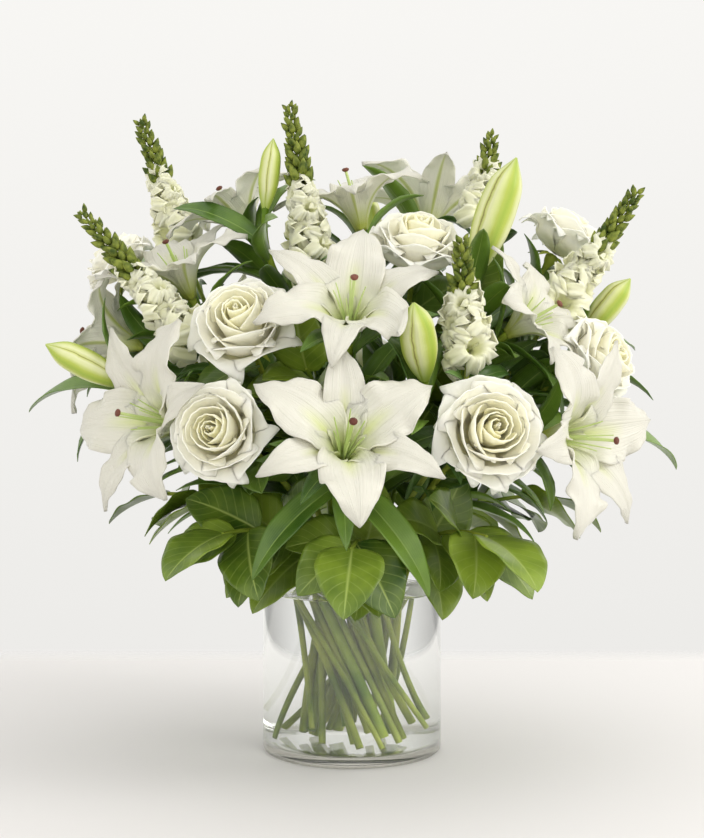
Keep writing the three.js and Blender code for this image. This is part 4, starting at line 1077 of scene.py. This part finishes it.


# The tepals' fronts and backs take two copies of one tissue. The backs' copy is much paler: painted light, for
# the light that shines through the thin tepals from behind.
lily_white = tepal_material("lily_white", (0.67, 0.655, 0.575), 0.17, 0.62, (0.38, 0.5, 0.07))
lily_back = tepal_material("lily_back", (0.93, 0.91, 0.8), 0.075, 1.5, (0.5, 0.56, 0.1))
lily_green = green_material("lily_green", (0.1, 0.19, 0.01), (0.34, 0.43, 0.05), 0.42)
filament_green = green_material("filament_green", (0.42, 0.55, 0.16), (0.58, 0.68, 0.3), 0.4)
stigma_brown = green_material("stigma_brown", (0.1, 0.03, 0.02), (0.19, 0.07, 0.045), 0.5)
bud_green = bud_material()

for name, fork in LILY_STEMS:
    stem = stem_named[f"lily_stem_{name}"]
    run_stem(stem, stem["lead"], unit([fork[0] * LEAN, fork[1] * LEAN, 1]))
    stem["paths"] = [(stem["path"], stem["radii"])]
    stem["lines"] = []
    stem["branches"] = 0


def run_stalk(name, end, arrive, into):
    """Finds the path of a stalk from near the top of its stem. It runs on into the flower that it carries."""
    stem = stem_named[f"lily_stem_{name}"]
    low, high = stem["coarse"][-2:]
    start = mix(high, low, STALK_STARTS[stem["branches"] % len(STALK_STARTS)])
    stem["branches"] += 1
    leave = unit(unit(end - start) + unit(high - low))
    radius = STEM_RADIUS["stalk"]
    corners = CAD_STALK["pieces"] + 1
    knots = curve_knots(stem["name"], start, leave, end, arrive, [radius] * corners, *CAD_STALK.values())
    stem["lines"].append(bezier(knots, np.linspace(0, 1, corners)))
    shares = np.linspace(0, 1, STALK_CUTS)
    fine = [*bezier(knots, shares), *(end + arrive * distance for distance, _ in into)]
    thick = [*np.linspace(radius, radius * 1.05, STALK_CUTS), *(thickness for _, thickness in into)]
    stem["paths"].append((fine, thick))


def bud_mesh(foot, tip, radius):
    """A long bud of six pressed tepals: three ridges, with a groove beside each."""
    axes = frame_for(tip - foot)
    length = np.linalg.norm(tip - foot)
    shares = np.linspace(0, 1, LILY_BUD["rows"])
    sizes = smooth_profile([(swell, 0) for swell in LILY_BUD_SWELL], shares)[:, 0] * radius
    turns = np.linspace(0, 1, LILY_BUD["columns"])
    folded = np.abs((3 * turns) % 1 - 0.5) * 2
    ridged = 0.97 + LILY_BUD["ridge"] * folded**2 - LILY_BUD["groove"] * np.clip(1 - folded * 9, 0, 1)
    rows = [
        around(foot, axes, size * ridged, 360 * turns, share * length)
        for size, share in zip(sizes, shares)
    ]
    return np.array(rows), np.stack(np.meshgrid(turns, shares), -1)


for number, (name, foot, tip, radius) in enumerate(LILY_BUDS, 1):
    foot, tip = np.array(foot, float), np.array(tip, float)
    arrive = unit(tip - foot)
    run_stalk(name, foot - arrive * STALK_ENDS["bud"], arrive, STALK_TOPS["bud"])
    rows, uv = bud_mesh(foot, tip, radius)
    vertices, faces, places, _ = sheets_mesh([(rows, uv, MIDDLE_SHADE)])
    node = f"lily_stem_{name}"
    make_piece(f"lily_bud_{number}", vertices, faces, bud_green, "lily_green", node, uv=places)

filaments = {name: [] for name, _ in LILY_STEMS}
stigmas = {name: [] for name, _ in LILY_STEMS}
across = np.linspace(-1, 1, TEPAL_CUTS["columns"])
shares = np.linspace(TEPAL_CUTS["foot"], 1, TEPAL_CUTS["rows"])
u, v = sheet_grid(TEPAL_CUTS["columns"], TEPAL_CUTS["rows"], TEPAL_CUTS["foot"])
for number, (name, throat, face, turn, size) in enumerate(LILIES, 1):
    seed = number - 1
    axes = frame_for(face)
    root = np.array(throat) - axes[0] * LILY_DEPTH
    lily = (root, axes, turn, size)
    stalk_end = around(root, axes, 0.0, 0, -STALK_ENDS["lily"])
    run_stalk(name, stalk_end, axes[0], STALK_TOPS["lily"])
    grids = []
    for k in (0, 2, 4, 1, 3, 5):
        attempt = lobe_tried(lily, k, seed, f"lily_{number}")
        points = np.array([petal_row(lily, k, seed, attempt, t, across, fine=True) for t in shares])
        grids.append((points, sheet_uv(u, v), MIDDLE_SHADE))
    # Painted light: the backs take the paler copy of the tissue, and the fronts and the rims take the darker
    # one.
    tepals = make_sheets(f"lily_{number}_tepals", grids, TEPAL_SHEET, lily_back, "lily_white", f"lily_{number}")
    tepals.data.materials.append(lily_white)
    tepals.modifiers["thickness"].material_offset = 1
    tepals.modifiers["thickness"].material_offset_rim = 1
    steps = np.linspace(0, 1, HEART_CUTS)
    for k in range(6):
        length = FILAMENT["length"] * size * (0.9 + 0.2 * vary(seed, k + 9))
        aside = FILAMENT["wander"] * (vary(seed, k) - 0.5)
        out = FILAMENT["from"] + (FILAMENT["spread"] - FILAMENT["from"]) * steps**1.4
        line = around(root, axes, out, turn + 60 * k + aside, 5 + (length - 5) * steps)
        filaments[name].append((line, np.linspace(*FILAMENT["thick"], HEART_CUTS)))
    bent = around(root, axes, STYLE["lean"], turn + STYLE["turn"], 0.0)
    end = STYLE["length"] * size
    style = np.array([mix(root, bent, s**1.5) + axes[0] * (4 + (end - 5) * s) for s in steps])
    filaments[name].append((style, np.linspace(*STYLE["thick"], HEART_CUTS)))
    stigmas[name].append(([bent + axes[0] * (end + h) for h in STIGMA["heights"]], STIGMA["radii"]))

for name, _ in LILY_STEMS:
    node = f"lily_stem_{name}"
    draw_stems(f"{node}_stalks", stem_named[node]["paths"], lily_green, "lily_green", node, sides=14)
    draw_stems(f"{node}_filaments", filaments[name], filament_green, "lily_green", node, sides=8)
    draw_stems(f"{node}_stigmas", stigmas[name], stigma_brown, "lily_green", node, sides=10)

# The snapdragons.
# Each spire has a green stem, open white florets round its lower half, each a two-lipped mouth with
# ruffled lobes, and plump green buds that grow smaller to the tip.
IN_FLOWER = 0.52
BUD_COLUMNS = 6
SPIRE = {"shares": (0.0, 0.3, 0.6, 0.85, 0.97), "radii": [2.0, 1.8, 1.4, 1.0, 0.6]}
SNAP_BUD = {"long": 9.5, "wide": 5.0, "tilt": 36.0, "stand": 3.0, "each": 1.5, "sides": 9}
BUD_SWELL = (0.4, 0.9, 1.05, 0.98, 0.78, 0.46, 0.1)
FLORET = {
    "long": 9.0, "lobe": 9.5, "ruffle": 1.5, "stand": 1.0, "each": 6.8, "tilt": 70.0, "sheet": 0.0005,
    "columns": 61, "rows": 9,
}
BUD_SIZES = {"First size": 1.75, "Last size": 0.85, "Unevenness": 0.3}
FLORET_SIZES = {"First size": 2.3, "Last size": 1.35, "Unevenness": 0.35}


def tipped(points, degrees):
    """Points leaning out from the path's direction, Z, towards X."""
    sin, cos = math.sin(math.radians(degrees)), math.cos(math.radians(degrees))
    x, y, z = np.moveaxis(points, -1, 0)
    return np.stack([x * cos + z * sin, y, z * cos - x * sin], -1)


def closed_rings(rings):
    """Vertices and faces of rings joined and capped."""
    rows, columns = rings.shape[:2]
    vertices = [*rings.reshape(-1, 3), rings[0].mean(0), rings[-1].mean(0)]
    faces = []
    for i in range(rows - 1):
        for k in range(columns):
            n = (k + 1) % columns
            faces.append((i * columns + k, i * columns + n, (i + 1) * columns + n, (i + 1) * columns + k))
    for k in range(columns):
        n = (k + 1) % columns
        faces.append((rows * columns, n, k))
        faces.append((rows * columns + 1, (rows - 1) * columns + k, (rows - 1) * columns + n))
    return np.array(vertices), faces


def snap_bud_form():
    """A plump bud, leaning out from the spire."""
    shares = np.linspace(0, 1, len(BUD_SWELL))
    angles = np.radians(360 * np.arange(SNAP_BUD["sides"]) / SNAP_BUD["sides"])
    widths = SNAP_BUD["wide"] / 2 * np.array(BUD_SWELL)
    rings = [
        np.stack([w * np.cos(angles), w * np.sin(angles), np.full(len(angles), s * SNAP_BUD["long"])], -1)
        for w, s in zip(widths, shares)
    ]
    leaning = tipped(np.array(rings), SNAP_BUD["tilt"])
    leaning[..., 0] += SNAP_BUD["stand"]
    return form_object("snap_bud_form", *closed_rings(leaning))


def floret_form():
    """A tube that opens into five ruffled lobes: two stand up and three hang, with a swelling between."""
    turns, s = np.meshgrid(np.linspace(0, 1, FLORET["columns"]), np.linspace(0, 1, FLORET["rows"]))
    angle = 2 * np.pi * turns
    upper = np.cos(angle - np.pi)
    lobes = np.abs(np.cos(2.5 * angle)) ** 0.55
    late = np.clip((s - 0.35) / 0.65, 0, 1)
    out = 1.5 + 2.6 * np.sin(np.pi / 2 * np.clip(s / 0.4, 0, 1))
    out = out + FLORET["lobe"] * late * (0.3 + 0.55 * lobes + 0.12 * upper)
    tall = FLORET["long"] * np.sin(np.pi / 2 * np.clip(s / 0.55, 0, 1))
    tall = tall + late * (2.4 * upper - 0.6) + 2.2 * np.sin(np.pi * late) * np.clip(-upper, 0, 1) ** 2
    tall = tall - 5.5 * late**2.2 * lobes
    waves = np.sin(11 * angle + 1.0) + 0.7 * np.sin(19 * angle + 2.2)
    tall = tall + FLORET["ruffle"] * late**1.4 * waves
    out = out + 1.1 * late**2 * np.sin(16 * angle)
    points = np.stack([out * np.cos(angle), out * np.sin(angle), tall], -1)
    vertices, faces, uv, _ = sheets_mesh([(points, np.stack([turns, s], -1), MIDDLE_SHADE)])
    leaning = tipped(vertices, FLORET["tilt"])
    leaning[:, 0] += FLORET["stand"]
    made = form_object("floret_form", leaning, faces, uv)
    thicken(made, FLORET["sheet"])
    return made


snap_bud = snap_bud_form()
floret = floret_form()
snap_green = green_material("snapdragon_green", (0.04, 0.07, 0.006), (0.24, 0.28, 0.045), 0.55, patch=170.0)
snap_stem_green = green_material("snapdragon_stem_green", (0.14, 0.21, 0.02), (0.36, 0.42, 0.08), 0.5)
snap_white = petal_material(
    "snapdragon_white", (0.86, 0.85, 0.7), (0.42, 0.5, 0.12), (0.84, 0.84, 0.52), 0.65, 12.0
)

for number, (base, tip) in enumerate(SNAPDRAGONS, 1):
    base, tip = np.array(base, float), np.array(tip, float)
    axes = frame_for(tip - base)
    length = np.linalg.norm(tip - base)
    node = f"snapdragon_stem_{number}"
    stem = stem_named[node]
    run_stem(stem, base, axes[0], BUD_COLUMNS)
    top, zone, open_zone = (
        [base + axes[0] * length * share for share in shares]
        for shares in (SPIRE["shares"], (IN_FLOWER - 0.02, 0.95), (0.06, IN_FLOWER))
    )
    paths = [(stem["path"], stem["radii"]), (top, SPIRE["radii"])]
    draw_stems(f"{node}_stem", paths, snap_stem_green, "snapdragon_green", node)
    buds = {"Count": round((1 - IN_FLOWER) * length / SNAP_BUD["each"]), **BUD_SIZES}
    set_along(f"{node}_buds", zone, snap_bud, snap_green, "snapdragon_green", node, number, buds)
    florets = {"Count": round(IN_FLOWER * length / FLORET["each"]), **FLORET_SIZES}
    bloom = f"snapdragon_{number}"
    set_along(
        f"{bloom}_florets", open_zone, floret, snap_white, "snapdragon_white", bloom, number + 20, florets
    )

# The leaves.
# Salal leaves are broad, leathery and glossy, with a pale midrib and side veins. Lily leaves are narrow
# and pointed with veins that run their whole length. Each grows straight from its stem.
LEAF = {
    "salal": {"length": 74.0, "width": 50.0, "fold": 0.2, "bow": 0.3, "swell": 0.7, "wave": 1.1},
    "lily": {"length": 112.0, "width": 23.0, "fold": 0.4, "bow": 0.4, "swell": 0.8, "wave": 0.7},
}
# Where along its length the solids' leaf has the corners of its sides.
LEAF_CORNERS = {"salal": (0.34, 0.72), "lily": (0.3, 0.68)}
# The ways that a leaf may take: how large it is, and how far it tilts up and rolls about its stem.
LEAF_TRIES = [
    (size, tilt, roll)
    for size in (1, 0.85, 0.7)
    for tilt in (0, -18, 18, -36, 36)
    for roll in (0, 22, -22, 44, -44, 66, -66)
]
SPRAY = {"top": 0.98, "step": 0.09, "upper": 0.7, "lower": 1.5, "droop": 0.35, "hangs_below": 250.0}
LONG_LEAVES = [
    ("left", (-170, -20, 318), (-280, -6, 312)),
    ("right", (160, -60, 290), (280, -4, 332)),
    ("left", (-150, 0, 372), (-186, 20, 486)),
    ("left", (-170, 0, 345), (-246, 20, 402)),
    ("front", (-10, -120, 240), (-80, -172, 182)),
    ("front", (20, -120, 250), (66, -160, 164)),
]
LEAF_SPAN = 0.86
LEAF_MISFIT = 1.6
LEAF_SHEET = 0.0006
SHORT_LEAVES = {"count": 4, "top": 0.97, "step": 0.12, "turn": 70.0}


def leaf_points(leaf, attempt, t, across):
    """Points of a leaf at shares of its length and half width."""
    size_by, tilt, roll = attempt
    sizes = LEAF[leaf["kind"]]
    side = unit(np.cross(leaf["ahead"], leaf["facing"]))
    ahead = turn_about(unit(leaf["ahead"]), side, tilt)
    up = np.cross(side, ahead)
    side, ahead, up = (turn_about(d, leaf["line"], roll) for d in (side, ahead, up))
    scale = leaf["size"] * size_by
    t, across = np.broadcast_arrays(np.asarray(t, float), np.asarray(across, float))
    swell = np.maximum(0, np.sin(np.pi * t ** sizes["swell"])) ** 0.75
    half = sizes["width"] / 2 * scale * swell * across
    bow = sizes["bow"]
    length = sizes["length"] * scale
    return (
        leaf["base"]
        + (length * (t - bow * bow * t**3))[..., None] * ahead
        + (length * bow * t * (0.55 - t) + np.abs(half) * sizes["fold"])[..., None] * up
        + half[..., None] * side
    ), up


def fine_leaf(leaf, attempt, seed, columns=13, rows=25):
    """The sheet of a leaf, with its edges waved."""
    u, v = sheet_grid(columns, rows)
    points, up = leaf_points(leaf, attempt, v, u)
    strength = LEAF[leaf["kind"]]["wave"]
    waves = strength * np.abs(u) ** 2 * np.sin(v * 17 + 6 * vary(seed, 1) + np.sign(u))
    lifted = points + (waves * np.sin(np.pi * v))[..., None] * up
    return lifted, sheet_uv(u, v), vary(seed, 2)


def leaf_grid(node, leaf, seed):
    """The fine sheet of a leaf, or None where the CAD node has no such leaf."""
    low, high = LEAF_CORNERS[leaf["kind"]]
    best = best_try(
        node,
        LEAF_TRIES,
        lambda attempt: leaf_points(leaf, attempt, [1.0], [0.0])[0],
        lambda attempt: leaf_points(leaf, attempt, [low, low, high, high], [-1, 1, -1, 1])[0],
        LEAF_MISFIT,
    )
    if best is None or best[0] > LEAF_MISFIT:
        return None
    return fine_leaf(leaf, best[1], seed)


def leaf_material(name, dark, light, vein, side_veins):
    """Glossy leaf tissue with a pale midrib, and veins that branch from it or run along it."""
    made, tree = new_material(name)
    x, y, _ = split(tree, add_node(tree, "ShaderNodeUVMap", uv_map="uv"))
    aside = off_rib(tree, x)
    if side_veins:
        count = maths(tree, "MULTIPLY", maths(tree, "MULTIPLY_ADD", aside, -0.55, y), 52.0)
    else:
        count = maths(tree, "MULTIPLY", aside, 95.0)
    lines = map_range(tree, maths(tree, "SINE", count), 0.86, 1.0)
    rib = map_range(tree, aside, 0.0, 0.035, 1.0, 0.0)
    veins = maths(tree, "MAXIMUM", maths(tree, "MULTIPLY", lines, 0.28), rib)
    shade = add_node(tree, "ShaderNodeAttribute", attribute_name="shade").outputs["Fac"]
    tone = maths(tree, "MULTIPLY_ADD", shade, 0.5, noise(tree, object_place(tree), 35.0, 4.0))
    colour = blend(tree, veins, ramp(tree, tone, [(0.4, dark), (1.0, light)]), vein)
    relief = add_node(tree, "ShaderNodeBump", {"Height": veins, "Strength": 0.35, "Distance": -0.0005})
    tissue_surface(tree, colour, 0.33, relief, Subsurface_Weight=0.1, Subsurface_Radius=LEAF_GLOW)
    return made


def along_stem(stem, share):
    """The point and direction at a share of a stem above its neck."""
    points = stem["coarse"]
    spot = min(1.0, max(0.0, share)) * (len(points) - 1)
    i = min(int(spot), len(points) - 2)
    return mix(points[i], points[i + 1], spot - i), unit(points[i + 1] - points[i])


def nearest_on(lines, target):
    """The nearest point on some lines of points, and the direction there."""
    best = None
    for points in lines:
        for low, high in zip(points, points[1:]):
            for share in (0, 0.25, 0.5, 0.75):
                base = mix(low, high, share)
                away = np.linalg.norm(base - target)
                if best is None or away < best[0]:
                    best = (away, base, unit(high - low))
    return best[1], best[2]


salal_leaf = leaf_material("salal_leaf", (0.034, 0.085, 0.006), (0.225, 0.32, 0.03), (0.33, 0.42, 0.1), True)
lily_leaf = leaf_material("lily_leaf", (0.036, 0.095, 0.008), (0.15, 0.26, 0.03), (0.23, 0.34, 0.07), False)
salal_stem_green = green_material("salal_stem_green", (0.11, 0.18, 0.012), (0.34, 0.4, 0.055), 0.5)

for number, (end, aim, leaves) in enumerate(SALAL, 1):
    node = f"salal_{number}"
    stem = stem_named[node]
    run_stem(stem, np.array(end, float), unit(aim))
    draw_stems(f"{node}_stem", [(stem["path"], stem["radii"])], salal_stem_green, "salal_green", node, sides=10)
    grids = []
    for k in range(leaves):
        base, line = along_stem(stem, SPRAY["top"] - SPRAY["step"] * k)
        outward = unit([base[0], base[1], 30])
        side = unit(np.cross(line, outward))
        reach = 0 if k == 0 else mix(SPRAY["upper"], SPRAY["lower"], k / leaves) * (1 if k % 2 else -1)
        ahead = line + side * reach + outward * 0.1
        if end[2] < SPRAY["hangs_below"]:
            ahead = ahead - UP * (SPRAY["droop"] + 0.3 * vary(number - 1, k))
        leaf = {"kind": "salal", "base": base, "line": line, "ahead": ahead, "facing": outward + UP * 0.6}
        leaf["size"] = 0.86 + 0.26 * vary(number - 1, k + 40)
        grid = leaf_grid(node, leaf, number * 20 + k)
        if grid is not None:
            grids.append(grid)
    make_sheets(f"{node}_leaves", grids, LEAF_SHEET, salal_leaf, "salal_green", node)

lily_leaves = {name: [] for name, _ in LILY_STEMS}
for k, (name, root, tip) in enumerate(LONG_LEAVES):
    base, line = nearest_on(stem_named[f"lily_stem_{name}"]["lines"], np.array(root))
    ahead = np.array(tip) - base
    facing = unit([base[0], base[1], 0]) + UP * 1.5
    leaf = {"kind": "lily", "base": base, "line": line, "ahead": ahead, "facing": facing}
    leaf["size"] = np.linalg.norm(ahead) / (LEAF_SPAN * LEAF["lily"]["length"])
    lily_leaves[name].append((leaf, 300 + k))
for index, (name, _) in enumerate(LILY_STEMS):
    for k in range(SHORT_LEAVES["count"]):
        share = SHORT_LEAVES["top"] - SHORT_LEAVES["step"] * k
        base, line = along_stem(stem_named[f"lily_stem_{name}"], share)
        out = spoke(frame_for(line), GOLDEN * k + SHORT_LEAVES["turn"] * index)
        leaf = {"kind": "lily", "base": base, "line": line, "ahead": out * 1.25 + line * 0.7}
        leaf["facing"] = line - out * 0.3
        leaf["size"] = 0.9 + 0.3 * vary(index, k)
        lily_leaves[name].append((leaf, 400 + index * 10 + k))
for name, wanted in lily_leaves.items():
    node = f"lily_stem_{name}"
    grids = [grid for leaf, seed in wanted if (grid := leaf_grid(node, leaf, seed)) is not None]
    if grids:
        make_sheets(f"{node}_leaves", grids, LEAF_SHEET, lily_leaf, "lily_green", node)

# The leaves between the blooms.
# Roses keep broad leaves near the bloom, snapdragons have narrow ones, and lily stalks and the two upper
# salal stems fill the rest. Each grows from its own stem, in the first way that meets nothing.
LEAF["rose"] = {"length": 62.0, "width": 37.0, "fold": 0.25, "bow": 0.35, "swell": 0.7, "wave": 0.7}
LEAF["snap"] = {"length": 58.0, "width": 13.0, "fold": 0.3, "bow": 0.5, "swell": 0.7, "wave": 0.7}
FILLING_TRIES = [
    (size, tilt, roll)
    for size in (1, 0.82, 0.66, 0.52)
    for tilt in (0, 24, -24, 48, -48)
    for roll in (0, 30, -30, 60, -60, 100, -100, 150)
]
LEAF_HEIGHTS = {"from": 205.0, "to": 520.0, "droop": 30.0}
SPACING = {"rose": 16.0, "snap": 15.0, "lily": 15.0, "salal": 13.0}
LEAF_SIZES = {"rose": 0.9, "snap": 0.9, "lily": 0.7, "salal": 0.9}
BARE_END = 14.0
LEAF_SHIFT = 4.0
LOOK_AHEAD = 3.0
TURN_BY_STEM = 50.0
COARSE_LEAF = {"columns": 5, "rows": 9, "foot": 0.12}
FINE_FILLING = {"columns": 5, "rows": 11}


def tree_over(vertices, faces):
    """A search tree over faces, and the two corners of their box."""
    return BVHTree.FromPolygons([tuple(v) for v in vertices], faces), vertices.min(0), vertices.max(0)


obstacles = []
for piece in list(scene.objects):
    passed_over = piece.name in ("floor", "vase_glass", "vase_water") or piece.name in frame["nodes"]
    too_small = piece.name.endswith(("_thorns", "_filaments", "_stigmas"))
    if piece.type != "MESH" or passed_over or too_small:
        continue
    spots = np.zeros(len(piece.data.vertices) * 3)
    piece.data.vertices.foreach_get("co", spots)
    faces = [tuple(polygon.vertices) for polygon in piece.data.polygons]
    owner = piece.name.rsplit("_", 1)[0] if piece.name.endswith(("_stem", "_stalks")) else None
    obstacles.append((*tree_over(spots.reshape(-1, 3) / TO_METRES, faces), owner))
columns, rows = COARSE_LEAF["columns"], COARSE_LEAF["rows"]
LEAF_U, LEAF_V = sheet_grid(columns, rows, COARSE_LEAF["foot"])
LEAF_CELLS = [
    (a, a + 1, a + columns + 1, a + columns)
    for a in (r * columns + c for r in range(rows - 1) for c in range(columns - 1))
]
low_corner, high_corner = (np.array(c) / TO_METRES for c in cad_box)


def filling_leaf(node, leaf, seed):
    """The fine sheet of a leaf in the first way that meets no other piece, or None."""
    for attempt in FILLING_TRIES:
        coarse, _ = leaf_points(leaf, attempt, LEAF_V, LEAF_U)
        coarse = coarse.reshape(-1, 3)
        low, high = coarse.min(0), coarse.max(0)
        lowest = LEAF_HEIGHTS["from"] - LEAF_HEIGHTS["droop"]
        if np.any(low < low_corner) or np.any(high > high_corner) or low[2] < lowest:
            continue
        tried, _, _ = tree_over(coarse, LEAF_CELLS)
        if any(
            owner != node and np.all(low < top) and np.all(high > bottom) and found.overlap(tried)
            for found, bottom, top, owner in obstacles
        ):
            continue
        obstacles.append((tried, low, high, None))
        return fine_leaf(leaf, attempt, seed, **FINE_FILLING)
    return None


def point_at(line, steps, distance):
    """The point at a distance along a line of points, whose own distances are the steps."""
    return np.array([np.interp(distance, steps, line[:, axis]) for axis in range(3)])


filling = {}
for index, stem in enumerate(stems):
    kind = stem["kind"]
    if kind == "salal" and stem["lead"][2] < SPRAY["hangs_below"]:
        continue
    lines = [stem["path"][len(BELOW_NECK) :]]
    if kind == "lily":
        lines += [points for points, _ in stem["paths"][1:]]
    seed = 900 + 40 * index
    for line in lines:
        line = np.array(line)
        steps = np.concatenate([[0.0], np.cumsum(np.linalg.norm(np.diff(line, axis=0), axis=1))])
        leafy = steps[-1] - BARE_END
        for k in range(1, int(leafy / SPACING[kind]) + 1):
            spot = leafy - SPACING[kind] * (k - 1) - LEAF_SHIFT * vary(seed, k)
            base = point_at(line, steps, spot)
            seed += 1
            if not LEAF_HEIGHTS["from"] < base[2] < LEAF_HEIGHTS["to"]:
                continue
            direction = unit(point_at(line, steps, spot + LOOK_AHEAD) - base)
            outward = unit([base[0], base[1], 25])
            turned_out = spoke(frame_for(direction), GOLDEN * k + TURN_BY_STEM * index)
            leaf = {"kind": kind, "base": base, "line": direction}
            leaf["ahead"] = turned_out * 0.8 + outward * 0.55 + direction * 0.6
            leaf["facing"] = outward * 0.8 + UP * 0.6 - turned_out * 0.2
            leaf["size"] = LEAF_SIZES[kind] + 0.3 * vary(seed, 5)
            grid = filling_leaf(stem["name"], leaf, seed)
            if grid is not None:
                filling.setdefault(stem["name"], []).append(grid)
snap_leaf = leaf_material("snapdragon_leaf", (0.03, 0.09, 0.01), (0.13, 0.24, 0.05), (0.2, 0.3, 0.08), False)
rose_leaf = leaf_material("rose_leaf", (0.026, 0.075, 0.006), (0.13, 0.22, 0.025), (0.23, 0.32, 0.07), True)
finishes = {
    "rose": (rose_leaf, "rose_green"),
    "snap": (snap_leaf, "snapdragon_green"),
    "lily": (lily_leaf, "lily_green"),
    "salal": (salal_leaf, "salal_green"),
}
for name, grids in filling.items():
    finish, slot = finishes[stem_named[name]["kind"]]
    make_sheets(f"{name}_filling", grids, LEAF_SHEET, finish, slot, name)

for form_used in (thorn_form, snap_bud, floret):
    bpy.data.objects.remove(form_used)
